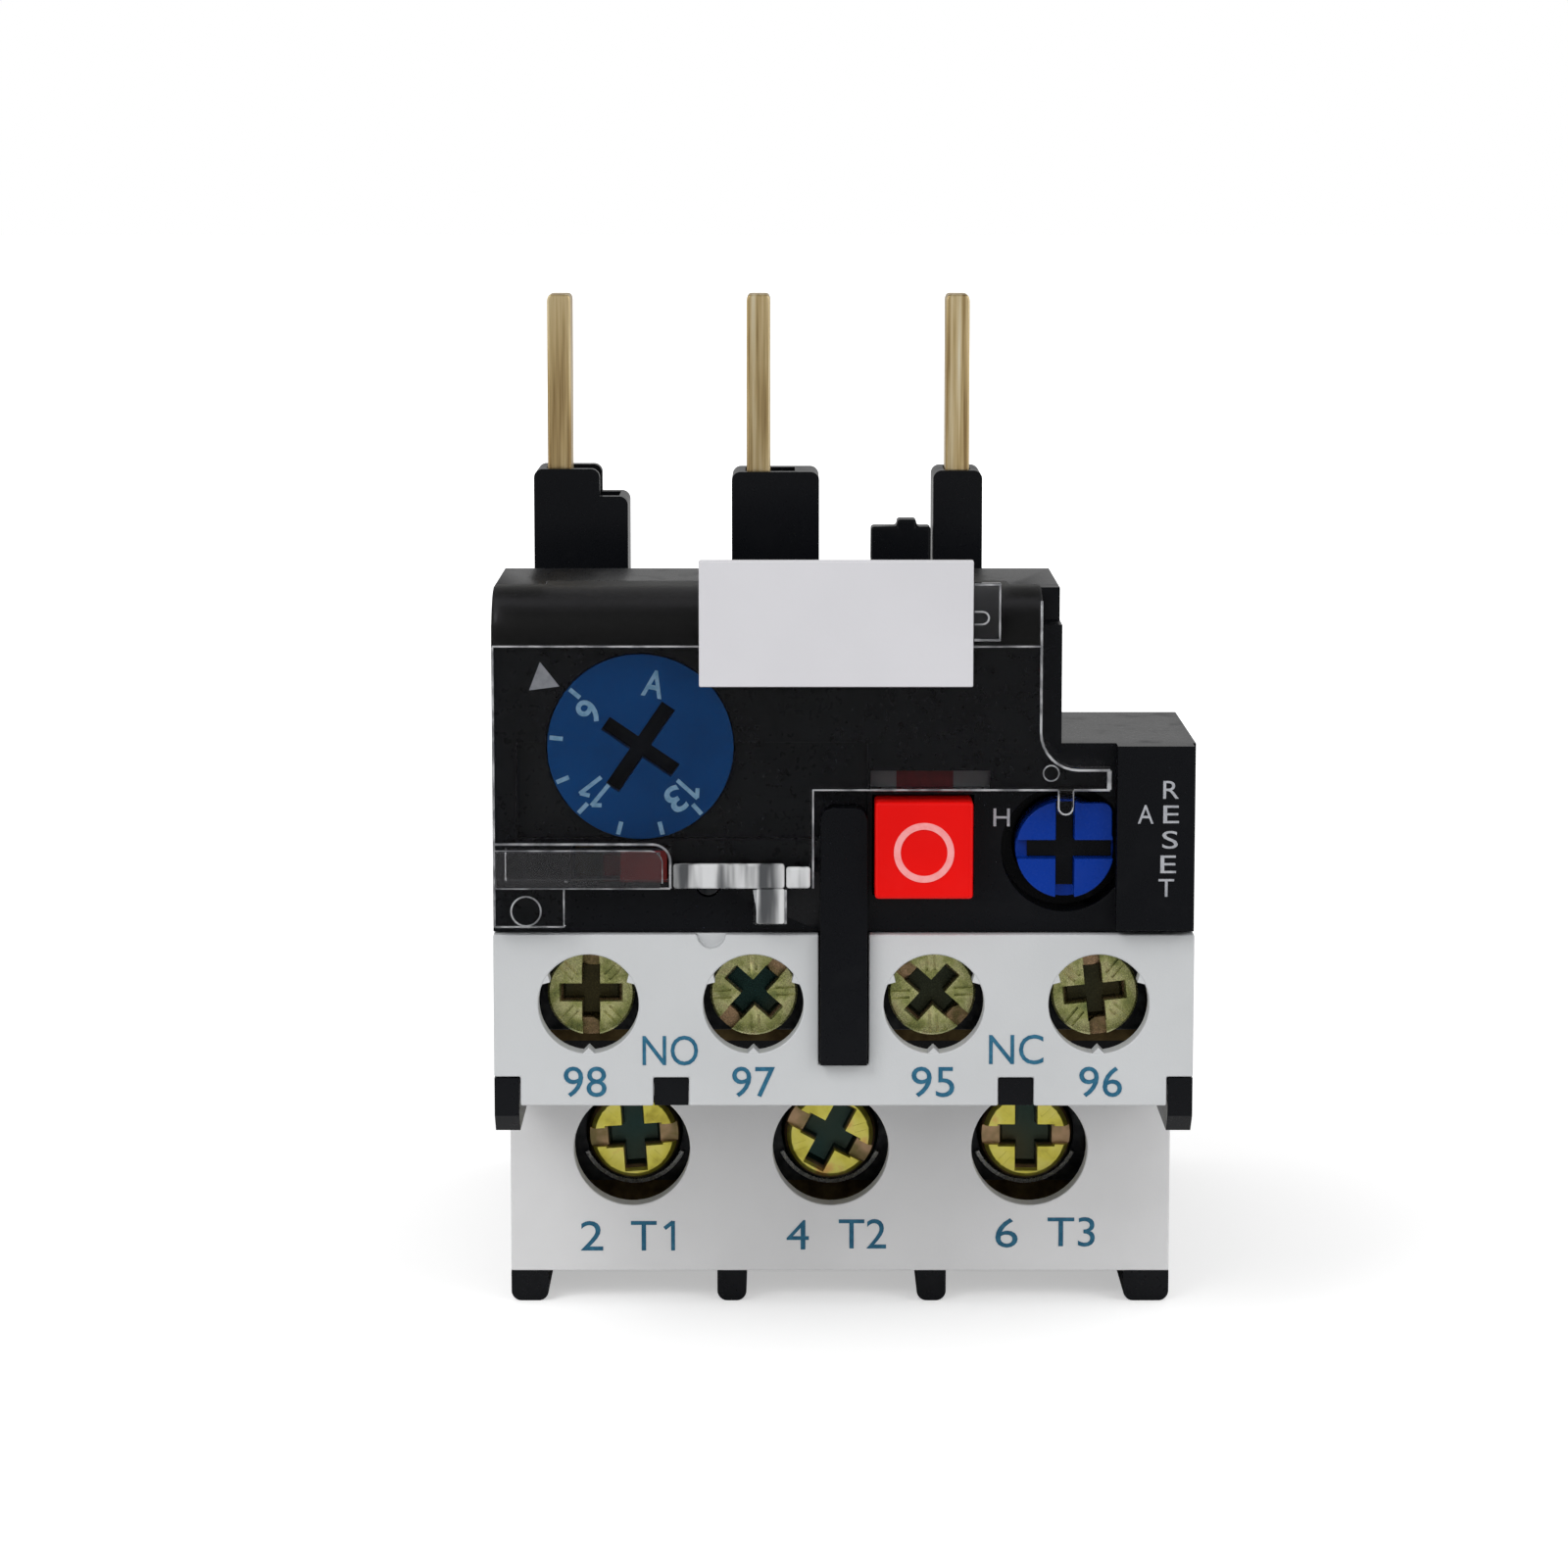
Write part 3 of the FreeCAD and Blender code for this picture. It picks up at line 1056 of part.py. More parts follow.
def trip_parts():
    """Both slide bars, the lever that reads them, and the lever's pin."""
    slide_bar("push_bar", s.push_bar_depth, 1,
              s.trip_pivot_x - s.trip_arm_half - s.seat_gap)
    slide_bar("differential_bar", s.difference_bar_depth, -1,
              s.trip_pivot_x - s.difference_stop)
    p = Piece("trip_lever", s.trip_pivot_x, deep(s.trip_pivot_depth), s.trip_low)
    half = s.trip_arm_half
    p.add("top", 0, s.trip_thick, Round(0, 0, s.trip_eye_radius))
    p.add("top", 0, s.trip_thick, rect(
        -half, s.trip_front_depth - s.trip_pivot_depth, half,
        s.push_bar_depth + s.bar_deep - s.trip_pivot_depth))
    p.cut("top", 0, s.trip_thick, Round(0, 0, s.trip_pin_radius + s.pin_clearance))
    done(p)
    p = Piece("lever_pin", s.trip_pivot_x, deep(s.trip_pivot_depth), s.trip_pin_low)
    p.add("top", s.running_gap, s.rear_high - s.roof_thick - s.trip_pin_low - s.running_gap,
          Round(0, 0, s.trip_pin_radius))
    return done(p)


def pole_pin(name, x):
    """Flat connection pin with a shoulder that holds it under the roof."""
    p = Piece(name, x, deep(s.pin_depth), s.pin_low)
    half, tip = s.pin_wide / 2, s.pin_tip
    high = s.overall_high - s.pin_low
    p.add("front", 0, s.pin_deep, [
        (-half, 0), (half, 0), (half, high - tip * 2), (half - tip, high),
        (tip - half, high), (-half, high - tip * 2)])
    p.add("front", -s.pin_shoulder_margin, s.pin_deep + s.pin_shoulder_margin,
          rect(-half, 0, half, s.pin_shoulder))
    return done(p)


def fixing_hook():
    """Snap hook that latches on the contactor above."""
    p = Piece("fixing_hook")
    front = deep(s.guide_depth)
    back = front + s.hook_deep
    p.add("side", s.hook_left, s.hook_right, [
        (front, s.rear_high), (back, s.rear_high), (back, s.hook_nose_low),
        (back + s.hook_nose, s.hook_nose_low), (back, s.hook_high), (front, s.hook_high)])
    p.add("side", s.hook_nub_left, s.hook_nub_right,
          rect(front, s.hook_high, back, s.hook_nub_high))
    return done(p)


rear_housing()
front_housing()
mechanism_cover()
aux_terminal_cover()
main_terminal_cover()
clear_cover()
marker_parts()
current_dial()
adjusting_parts()
stop_button()
reset_parts()
test_slider()
trip_indicator()
contact_carrier()
aux_contacts()
fasteners()
trip_parts()
fixing_hook()
for count, (main_x, bimetal_x) in enumerate(zip(main_places, bimetal_places), start=1):
    load_terminal("load_terminal_%d" % count, main_x)
    bimetal_set(count, bimetal_x)
for count, pin_x in enumerate((s.pin_x_left, s.pin_x_middle, s.pin_x_right), start=1):
    pole_pin("pole_pin_%d" % count, pin_x)

doc.recompute()
for item in doc.Objects:
    if "Invalid" in item.State or "Error" in item.State:
        raise ValueError("%s did not build: %s" % (item.Label, item.State))
for part in PARTS:
    if part.Shape.isNull() or not part.Shape.isValid():
        raise ValueError("%s has a bad shape" % part.Label)

os.makedirs("parts", exist_ok=True)
for part in PARTS:
    part.Shape.exportStep("parts/%s.step" % part.Label)
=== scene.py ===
# %% [markdown]
# A thermal overload relay is a small motor protection device. It plugs into the bottom of a
# contactor with three flat pins, and its front has a current dial under a clear flap, a red stop
# button, a blue reset knob and two rows of screw terminals behind grey plates.
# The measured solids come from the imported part. This lesson dresses them: softened edges, real
# screw heads, printed lettering and materials worked out from noise.

# %% Load the frame
import json
import math

import bmesh
import bpy
from mathutils import Matrix, Vector

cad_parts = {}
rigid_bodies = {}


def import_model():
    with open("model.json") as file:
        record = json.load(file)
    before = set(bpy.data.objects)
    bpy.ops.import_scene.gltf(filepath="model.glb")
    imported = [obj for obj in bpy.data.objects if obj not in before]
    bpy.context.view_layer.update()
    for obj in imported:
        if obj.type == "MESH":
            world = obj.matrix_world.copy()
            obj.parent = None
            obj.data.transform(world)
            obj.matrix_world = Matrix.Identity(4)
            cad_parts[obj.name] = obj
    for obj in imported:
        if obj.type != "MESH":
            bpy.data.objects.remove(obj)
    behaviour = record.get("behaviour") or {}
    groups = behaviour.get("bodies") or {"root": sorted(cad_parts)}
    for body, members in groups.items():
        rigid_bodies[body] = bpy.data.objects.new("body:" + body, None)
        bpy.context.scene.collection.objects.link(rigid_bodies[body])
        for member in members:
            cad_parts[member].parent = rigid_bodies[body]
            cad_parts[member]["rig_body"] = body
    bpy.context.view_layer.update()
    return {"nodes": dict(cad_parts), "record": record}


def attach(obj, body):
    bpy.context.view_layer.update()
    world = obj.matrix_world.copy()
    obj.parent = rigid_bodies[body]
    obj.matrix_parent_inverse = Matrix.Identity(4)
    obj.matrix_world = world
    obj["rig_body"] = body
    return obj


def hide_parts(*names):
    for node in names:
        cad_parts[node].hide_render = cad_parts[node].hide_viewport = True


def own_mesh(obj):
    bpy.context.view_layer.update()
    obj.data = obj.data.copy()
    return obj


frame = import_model()
NODES = frame["nodes"]
MM = 0.001
HALF_DEEP = 33.0
scene = bpy.context.scene
print("CAD nodes:", len(NODES))

# %% [markdown]
# Every place on the relay is counted in millimetres: across from the middle, back from the front
# plate and up from the feet. One function turns such a place into Blender's metres, so that the
# numbers in the later cells can be checked with a ruler.


# %% Places in millimetres
def spot(across, depth, up):
    """Point of the relay in metres: across, behind the front plate, above the feet."""
    return Vector((across, depth - HALF_DEEP, up)) * MM


print("front plate at", tuple(round(v, 4) for v in spot(0, 0, 0)))

# %% [markdown]
# Patterns in a material are sums and products of noise. Blender does such sums with Math nodes,
# which are slow to wire by hand. A small class wraps a node's output socket, so that a plain
# Python expression such as 1 - grain * 0.4 adds the right nodes to the material.


# %% Shader maths
class Wire:
    """An output socket of a material that takes part in sums and products."""

    def __init__(self, finish, socket):
        self.finish, self.socket = finish, socket

    def maths(self, operation, left, right):
        node = self.finish.node("ShaderNodeMath", {"operation": operation}, {0: left, 1: right})
        return Wire(self.finish, node.outputs[0])

    def __add__(self, other):
        return self.maths("ADD", self, other)

    def __sub__(self, other):
        return self.maths("SUBTRACT", self, other)

    def __rsub__(self, other):
        return self.maths("SUBTRACT", other, self)

    def __mul__(self, other):
        return self.maths("MULTIPLY", self, other)

    def size(self):
        """The value without its sign."""
        return self.maths("ABSOLUTE", self, 0.0)

    def span(self, low, high):
        """Smooth step from 0 at low to 1 at high."""
        node = self.finish.node("ShaderNodeMapRange", {"interpolation_type": "SMOOTHSTEP"},
                                {"Value": self, "From Min": low, "From Max": high})
        return Wire(self.finish, node.outputs["Result"])

    __radd__ = __add__
    __rmul__ = __mul__


class Finish:
    """A material on one Principled shader, with its patterns in object coordinates."""

    def __init__(self, name, **settings):
        self.material = bpy.data.materials.new(name)
        self.material.use_nodes = True
        self.tree = self.material.node_tree
        self.shader = self.tree.nodes["Principled BSDF"]
        for key, value in settings.items():
            self.shader.inputs[key.replace("_", " ")].default_value = value
        coordinates = self.node("ShaderNodeTexCoord", {}, {})
        self.place = Wire(self, coordinates.outputs["Object"])

    def join(self, value, socket):
        if isinstance(value, Wire):
            self.tree.links.new(value.socket, socket)
        else:
            socket.default_value = value

    def node(self, kind, settings, sockets):
        """Add a node, first its settings and then what its sockets take."""
        node = self.tree.nodes.new(kind)
        for key, value in settings.items():
            if key == "stops":
                self.ramp(node.color_ramp, value)
            else:
                setattr(node, key, value)
        for key, value in sockets.items():
            self.join(value, node.inputs[key])
        return node

    def ramp(self, ramp, stops):
        """Give a colour ramp its stops."""
        while len(ramp.elements) < len(stops):
            ramp.elements.new(0.5)
        for element, (position, colour) in zip(ramp.elements, stops):
            element.position, element.color = position, (*colour, 1.0)

    def stretched(self, x, y, z):
        """Object coordinates scaled along each axis."""
        mapping = self.node("ShaderNodeMapping", {},
                            {"Vector": self.place, "Scale": (x, y, z)})
        return Wire(self, mapping.outputs["Vector"])

    def noise(self, size, detail=2.0, rough=0.5, place=None):
        """Noise whose blobs are about size millimetres across."""
        node = self.node("ShaderNodeTexNoise", {}, {
            "Vector": place or self.place, "Scale": 1.0 / (size * MM), "Detail": detail,
            "Roughness": rough})
        return Wire(self, node.outputs["Fac"])

    def shades(self, amount, *stops):
        """Colour from a ramp of (position, colour) stops."""
        node = self.node("ShaderNodeValToRGB", {"stops": stops}, {0: amount})
        return Wire(self, node.outputs["Color"])

    def blend(self, amount, under, over):
        """Mix two colours."""
        node = self.node("ShaderNodeMix", {"data_type": "RGBA"}, {0: amount, 6: under, 7: over})
        return Wire(self, node.outputs[2])

    def along(self, axis, vector=None):
        """One axis of the object coordinates, or of another vector."""
        node = self.node("ShaderNodeSeparateXYZ", {}, {0: vector or self.place})
        return Wire(self, node.outputs[axis])

    def seen(self):
        """1 for rays from the camera, also through clear plastic, and 0 once they have bounced."""
        path = self.node("ShaderNodeLightPath", {}, {})
        camera, through, glossy, diffuse = [Wire(self, path.outputs[name]) for name in (
            "Is Camera Ray", "Is Transmission Ray", "Glossy Depth", "Diffuse Depth")]
        return (camera + through * (1 - (glossy + diffuse).span(0.0, 1.0))).span(0.0, 1.0)

    def drive(self, name, value):
        self.join(value, self.shader.inputs[name])

    def bump(self, height, depth):
        """Relief of depth millimetres from a height between 0 and 1."""
        node = self.node("ShaderNodeBump", {}, {"Height": height, "Distance": depth * MM,
                                                "Strength": 1.0})
        self.join(Wire(self, node.outputs["Normal"]), self.shader.inputs["Normal"])


print("shader maths ready")

# %% [markdown]
# Moulded plastic is never one even colour. The mould is spark eroded, which leaves a fine grain,
# the melt flows in broad soft clouds, and handling leaves faint marks that dull the gloss. All
# plastics here share that recipe, with their own colour, gloss and depth of grain.


# %% Plastics
# Near-black painted shade for the back of a driver slot, and the depth over which it fades in.
SLOT_SHADE = (0.001, 0.003, 0.009, 1)
SLOT_SHADE_FADE = 0.7


def plastic(name, colour, gloss, grain_size, grain_deep, cloud=0.12, shade_from=None,
            **settings):
    """Moulded plastic: clouded colour, dulled patches and an eroded grain.

    Given a depth to darken from, its colour turns near black behind it: painted shade in a driver
    slot.
    """
    f = Finish(name, **settings)
    flow = f.noise(9.0, 3.0)
    handling = f.noise(2.2, 5.0, 0.62)
    dark = tuple(c * (1 - cloud) for c in colour) + (1.0,)
    light = tuple(min(c * (1 + cloud), 1.0) for c in colour) + (1.0,)
    shade = f.blend(flow.span(0.3, 0.7), dark, light)
    if shade_from is not None:
        start = (shade_from - HALF_DEEP) * MM
        shade = f.blend(f.along("Y").span(start, start + SLOT_SHADE_FADE * MM), shade, SLOT_SHADE)
    f.drive("Base Color", shade)
    dull = handling.span(0.52, 0.72)
    f.drive("Roughness", gloss + dull * 0.09 + f.noise(0.35, 2.0) * 0.06)
    f.bump(f.noise(grain_size, 3.0, 0.6) + flow * 0.6, grain_deep)
    return f


black = plastic("black_moulding", (0.0036, 0.0041, 0.0056), 0.25, 0.16, 0.0025,
                Specular_IOR_Level=0.17)
grey = plastic("grey_plate", (0.575, 0.59, 0.60), 0.42, 0.14, 0.008, 0.03)
# The lower plate is painted lighter than the upper one to make up for the shade under the upper
# block: painted light.
grey_lightened = plastic("grey_lower_plate_lightened", (0.755, 0.755, 0.76), 0.42, 0.14, 0.008, 0.03)
white = plastic("white_marker", (0.69, 0.685, 0.715), 0.38, 0.3, 0.006, 0.02)
# The dial's driver slot takes painted shade from 3.6 mm back.
dial_blue = plastic("dial_blue", (0.002, 0.060, 0.215), 0.42, 0.12, 0.010, 0.1, 3.6,
                    Specular_IOR_Level=0.12)
knob_blue = plastic("knob_blue", (0.001, 0.034, 0.30), 0.24, 0.3, 0.003, 0.08,
                    Specular_IOR_Level=0.2)
slider_red = plastic("slider_red", (0.22, 0.016, 0.014), 0.35, 0.2, 0.004, 0.1,
                     Specular_IOR_Level=0.3)
red = plastic("stop_red", (0.80, 0.003, 0.002), 0.30, 0.2, 0.004, 0.05,
              Specular_IOR_Level=0.15)
flag_grey = plastic("flag_grey", (0.13, 0.13, 0.135), 0.45, 0.2, 0.004)
print("plastics:", [m.name for m in bpy.data.materials][:8])

# %% [markdown]
# The flap is clear polycarbonate. A little roughness and a faint wave in its surface, the flow
# marks of the mould, bend what lies behind it. The bright lines round it are its edges, which
# gather light, and the edge strips are painted highlights in a milkier, paler material. Above
# its step the flap rolls over to the hinge, and that roll is painted a dull dark grey, a painted
# shade.


# %% Clear plastics
# Painted shade for the hinge roll above the flap's step: a dark grey, faded in over a tenth of a
# millimetre, with more roughness.
ROLL_SHADE = (0.11, 0.11, 0.12, 1)
ROLL_SHADE_FADE, ROLL_DULL = 0.1, 0.45


def clear_sheet(name, shade_above=None):
    """Clear polycarbonate. Given a height, it turns a dull dark grey above it: painted shade on the
    hinge roll.
    """
    f = Finish(name, Transmission_Weight=1.0, IOR=1.25)
    colour = f.blend(f.noise(6.0), (0.95, 0.96, 0.97, 1), (0.99, 0.99, 1, 1))
    dull = f.noise(2.6, 3.0).span(0.5, 0.9) * 0.018
    if shade_above is not None:
        roll_shade_mask = f.along("Z").span(shade_above * MM, (shade_above + ROLL_SHADE_FADE) * MM)
        colour = f.blend(roll_shade_mask, colour, ROLL_SHADE)
        dull = dull + roll_shade_mask * ROLL_DULL
    f.drive("Base Color", colour)
    f.drive("Roughness", dull)
    f.bump(f.noise(7.0, 1.0), 0.006)
    return f


FLAP_STEP = 47.1
clear = clear_sheet("clear_holder")
flap_clear = clear_sheet("clear_flap", FLAP_STEP)

# The edge strips are painted highlights: a half-clear material, pale in patches, for the light that
# gathers at the flap's edges.
edge_highlight = Finish("flap_edge_highlight", Transmission_Weight=0.35, IOR=1.4)
edge_highlight.drive("Base Color", edge_highlight.blend(
    edge_highlight.noise(1.2, 3.0).span(0.35, 0.65), (0.22, 0.225, 0.24, 1), (0.66, 0.67, 0.69, 1)))
edge_highlight.drive("Roughness", 0.12 + edge_highlight.noise(0.8, 3.0) * 0.15)
edge_highlight.bump(edge_highlight.noise(0.5, 2.0), 0.02)

# The latch bar and the tongue are streaked pale and dark: painted highlights and shade for the light
# that runs through the thick rib.
rib_streaks = Finish("flap_rib_streaks", Transmission_Weight=0.25, IOR=1.4)
bands = rib_streaks.noise(1.3, 2.5, 0.6, rib_streaks.stretched(1.0, 1.0, 0.12)).span(0.36, 0.62)
cloud = rib_streaks.noise(0.7, 3.0)
rib_streaks.drive("Base Color", rib_streaks.blend(
    bands, (0.10, 0.104, 0.11, 1), (0.86, 0.87, 0.88, 1)))
rib_streaks.drive("Roughness", 0.10 + cloud * 0.2)
rib_streaks.bump(bands, 0.05)

pane_clear = Finish("clear_flap_pane", Transmission_Weight=0.97, IOR=1.25)
pane_clear.drive("Base Color", pane_clear.blend(
    pane_clear.noise(3.0), (0.50, 0.50, 0.52, 1), (0.70, 0.70, 0.72, 1)))
pane_clear.drive("Roughness", 0.10 + pane_clear.noise(1.0, 3.0) * 0.1)
print("clear plastics ready")

# %% [markdown]
# The screws are steel with a yellow zinc passivation. That film is only a few light waves thick,
# so its colour drifts from straw over green to rose across a few millimetres. Their slots and
# cross recesses are painted darker, a painted shade. The pins are stamped brass strip with long
# draw lines. The clamp washers and the brass inside the case are painted dark, a painted shade
# deep in the holes.


# %% Metals
SLOT_FADE, PIT_FROM, PIT_TO = 0.12, 0.3, 0.7


def metal(name, shades, drift, gloss, streak=None, shade_from=None, pure=1.0, **settings):
    """Metal whose colour drifts along a ramp, with fine scratches in its gloss.

    Given a depth to darken from, it turns a darker brown behind it and near black further back:
    painted shade in the slot and the cross recess. A metal that is less than pure has a dull
    share, as a plated layer has.
    """
    f = Finish(name, Metallic=pure, **settings)
    place = f.stretched(*streak) if streak else f.place
    slow = f.noise(drift, 3.0, 0.55, place)
    fine = f.noise(0.12, 3.0, 0.6, place)
    colour = f.shades(slow, *shades)
    if shade_from is not None:
        start = (shade_from - HALF_DEEP) * MM
        # Painted shade: a darker brown in the slot, near black in the cross recess.
        slot = f.along("Y").span(start, start + SLOT_FADE * MM)
        recess_shade_mask = f.along("Y").span(start + PIT_FROM * MM, start + PIT_TO * MM)
        colour = f.blend(slot, colour, f.shades(slow, (0.4, (0.22, 0.17, 0.06)),
                                                (0.6, (0.56, 0.36, 0.20))))
        recess_shade = f.shades(f.noise(12.0), (0.40, (0.005, 0.034, 0.027)), (0.60, (0.052, 0.042, 0.009)))
        colour = f.blend(recess_shade_mask, colour, recess_shade)
    f.drive("Base Color", colour)
    f.drive("Roughness", gloss + fine.span(0.45, 0.75) * 0.16)
    f.bump(fine, 0.006)
    return f


ZINC_SHADES = [
    (0.30, (0.24, 0.30, 0.08)), (0.44, (0.55, 0.52, 0.17)), (0.56, (0.80, 0.72, 0.30)),
    (0.66, (0.72, 0.46, 0.28)), (0.76, (0.42, 0.46, 0.18))]
AUX_SHADES = [
    (0.30, (0.24, 0.29, 0.09)), (0.44, (0.52, 0.54, 0.18)), (0.58, (0.84, 0.82, 0.38)),
    (0.76, (0.62, 0.50, 0.24))]
AUX_HEAD, MAIN_HEAD = 7.0, 24.0
zinc = metal("yellow_zinc", ZINC_SHADES, 1.1, 0.26)
# Both screw finishes take painted shade behind the head's face.
zinc_aux = metal("yellow_zinc_aux", AUX_SHADES, 1.3, 0.24, shade_from=AUX_HEAD + 0.35, pure=0.6)
zinc_main = metal("yellow_zinc_main", [
    (0.30, (0.62, 0.52, 0.06)), (0.45, (0.92, 0.82, 0.12)), (0.58, (1.00, 0.90, 0.20)),
    (0.72, (0.94, 0.58, 0.16))], 2.2, 0.28, shade_from=MAIN_HEAD + 0.45, pure=0.55)
brass = metal("pin_brass", [
    (0.32, (0.34, 0.22, 0.09)), (0.45, (0.62, 0.46, 0.22)), (0.57, (0.80, 0.65, 0.38)),
    (0.70, (0.93, 0.84, 0.62))], 0.5, 0.30, (1.3, 1.0, 0.03), pure=0.7)
# The brass inside the case is painted far darker than the pins: painted shade deep in the wire
# entries.
shaded_terminal_brass = metal("shaded_terminal_brass", [
    (0.35, (0.055, 0.036, 0.016)), (0.65, (0.12, 0.085, 0.036))], 1.5, 0.34)
# The clamp washers are painted near black: painted shade deep in the screw holes. The adjusting pin
# takes the same dark steel.
dark_steel = metal("dark_steel", [
    (0.3, (0.02, 0.021, 0.024)), (0.7, (0.07, 0.072, 0.075))], 1.1, 0.34)
# This bright steel serves only the washer lip arcs: a painted highlight, a lit copy of the dark
# washer steel.
steel = metal("glint_steel", [
    (0.3, (0.36, 0.37, 0.36)), (0.7, (0.62, 0.62, 0.60))], 0.9, 0.24)
spring_steel = metal("spring_steel", [
    (0.3, (0.28, 0.28, 0.29)), (0.7, (0.50, 0.50, 0.52))], 0.7, 0.28)
bimetal = metal("bimetal_strip", [
    (0.3, (0.30, 0.29, 0.27)), (0.7, (0.50, 0.49, 0.45))], 1.4, 0.34, (3.0, 1.0, 0.1))
heater = metal("heater_alloy", [
    (0.3, (0.22, 0.15, 0.11)), (0.7, (0.44, 0.33, 0.26))], 1.1, 0.36)

sleeve = Finish("woven_sleeve", Roughness=0.85)
weave = sleeve.noise(0.5, 1.0, 0.5, sleeve.stretched(1.0, 1.0, 2.5))
sleeve.drive("Base Color", sleeve.blend(weave, (0.42, 0.38, 0.30, 1), (0.78, 0.74, 0.66, 1)))
sleeve.bump(weave, 0.06)
print("metals ready")

# %% [markdown]
# Printed letters and marks are a thin layer of pad-printing ink. Ink is uneven where the pad
# pressed less, so a noise thins its colour a little.


# %% Inks
def ink(name, colour, worn):
    """Pad-printed ink, thinner in places."""
    f = Finish(name, Specular_IOR_Level=0.3)
    thin = f.noise(0.45, 3.0, 0.6).span(0.35, 0.75)
    f.drive("Base Color", f.blend(thin, (*colour, 1.0), (*worn, 1.0)))
    f.drive("Roughness", 0.45 + f.noise(0.2) * 0.2)
    return f


teal_ink = ink("teal_ink", (0.012, 0.105, 0.19), (0.03, 0.16, 0.26))
pale_ink = ink("pale_ink", (0.42, 0.43, 0.46), (0.30, 0.31, 0.34))
dial_ink = ink("dial_ink", (0.30, 0.52, 0.72), (0.18, 0.38, 0.58))
ring_ink = ink("ring_ink", (0.93, 0.36, 0.36), (0.90, 0.28, 0.28))
flag_red = ink("flag_red", (0.12, 0.010, 0.012), (0.09, 0.007, 0.009))
print("inks ready")

# %% [markdown]
# A drawn solid has razor edges, and a moulding never does: its edges are rounded by the mould and
# they catch the light as thin bright lines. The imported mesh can't be changed, so each visible
# node is copied, its doubled corners are merged, and a Bevel modifier rounds what is sharp.


# %% Softened copies of the solids
SHARP, FLAT = math.radians(22), math.radians(1)
SAME_CORNER, SAME_POINT = 0.0005 * MM, 0.001 * MM
PIN_LEDGE, LEDGE_REACH = 54.3, 0.05


def settle(piece, finish, body, slot, *nodes):
    """Give a piece its finish, its body and the nodes that it stands for. The slot is not used."""
    piece.data.materials.clear()
    piece.data.materials.append(finish.material)
    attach(piece, body)
    if nodes:
        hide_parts(*nodes)
    return piece


def new_piece(name, bm):
    """Make an object at the origin from a bmesh, shaded smooth up to its sharp edges."""
    mesh = bpy.data.meshes.new(name)
    bm.to_mesh(mesh)
    bm.free()
    mesh.shade_smooth()
    mesh.set_sharp_from_angle(angle=SHARP)
    piece = bpy.data.objects.new(name, mesh)
    scene.collection.objects.link(piece)
    return piece


def soften(piece, width, segments=2):
    """Round the sharp edges with a bevel, and keep the flat faces flat."""
    bevel = piece.modifiers.new("rounded_edges", "BEVEL")
    bevel.width = width * MM
    bevel.segments = segments
    bevel.limit_method = "ANGLE"
    bevel.angle_limit = SHARP
    bevel.harden_normals = True
    return piece


def merged(node):
    """A bmesh of a node with its doubles merged and its flat faces joined.

    The ledge round each pin keeps its triangles. Joined, it would fold over the pin's way.
    """
    bm = bmesh.new()
    bm.from_mesh(NODES[node].data)
    bmesh.ops.remove_doubles(bm, verts=bm.verts, dist=SAME_CORNER)
    joined = [edge for edge in bm.edges
              if any(abs(v.co.z / MM - PIN_LEDGE) > LEDGE_REACH for v in edge.verts)]
    bmesh.ops.dissolve_limit(bm, angle_limit=FLAT, use_dissolve_boundaries=False,
                             verts=bm.verts, edges=joined, delimit=set())
    return bm


def dressed(node, finish, slot, width, segments=2):
    """A softened copy of a node that stands for it."""
    piece = new_piece(node + "_softened", merged(node))
    soften(piece, width, segments)
    return settle(piece, finish, NODES[node]["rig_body"], slot, node)


SOFTENED = [
    ("front_housing", black, "black_plastic", 0.18),
    ("rear_housing", black, "black_plastic", 0.15),
    ("aux_terminal_cover", grey, "grey_cover", 0.12),
    ("main_terminal_cover", grey_lightened, "grey_cover_dark", 0.12),
    ("clear_cover", flap_clear, "clear_plastic", 0.15),
    ("marker_holder", clear, "clear_plastic", 0.12),
    ("marker_plate", white, "white_plastic", 0.10),
    ("current_dial", dial_blue, "blue_dial", 0.12),
    ("stop_button", red, "red_plastic", 0.22),
    ("reset_knob", knob_blue, "blue_knob", 0.15),
    ("test_slider", slider_red, "red_plastic", 0.15),
    ("trip_indicator", flag_grey, "flag_grey", 0.06),
    ("fixing_hook", black, "black_plastic", 0.20),
    ("pole_pin_1", brass, "brass", 0.18),
    ("pole_pin_2", brass, "brass", 0.18),
    ("pole_pin_3", brass, "brass", 0.18),
    # Washers in near-black steel: painted shade in the screw holes.
    ("main_clamp_washers", dark_steel, "plated_steel", 0.10),
    ("aux_clamp_washers", dark_steel, "plated_steel", 0.10),
    ("adjusting_pin", dark_steel, "spring_steel", 0.10),
]
for node, finish, slot, width in SOFTENED:
    dressed(node, finish, slot, width)
print("softened:", len(SOFTENED))

# %% [markdown]
# The pieces inside the case are seen only where a slot or a wire entry lets light in, so their
# solids stay as they are and take the finish of their slot. Their brass takes a darkened brass,
# a painted shade.

# %% Finishes of the inner pieces
FINISH_OF_SLOT = {
    "black_plastic": black, "grey_cover": grey, "white_plastic": white, "blue_knob": knob_blue,
    "red_plastic": red, "flag_grey": flag_grey, "brass": shaded_terminal_brass, "plated_steel": zinc,
    "spring_steel": spring_steel, "bimetal": bimetal, "sleeve": sleeve, "heater": heater}
for entry in frame["record"]["subparts"]:
    thing = NODES[entry["node"]]
    if entry["material_slot"] in FINISH_OF_SLOT:
        thing.data.materials.clear()
        thing.data.materials.append(FINISH_OF_SLOT[entry["material_slot"]].material)
print("finishes by slot:", sorted(FINISH_OF_SLOT))

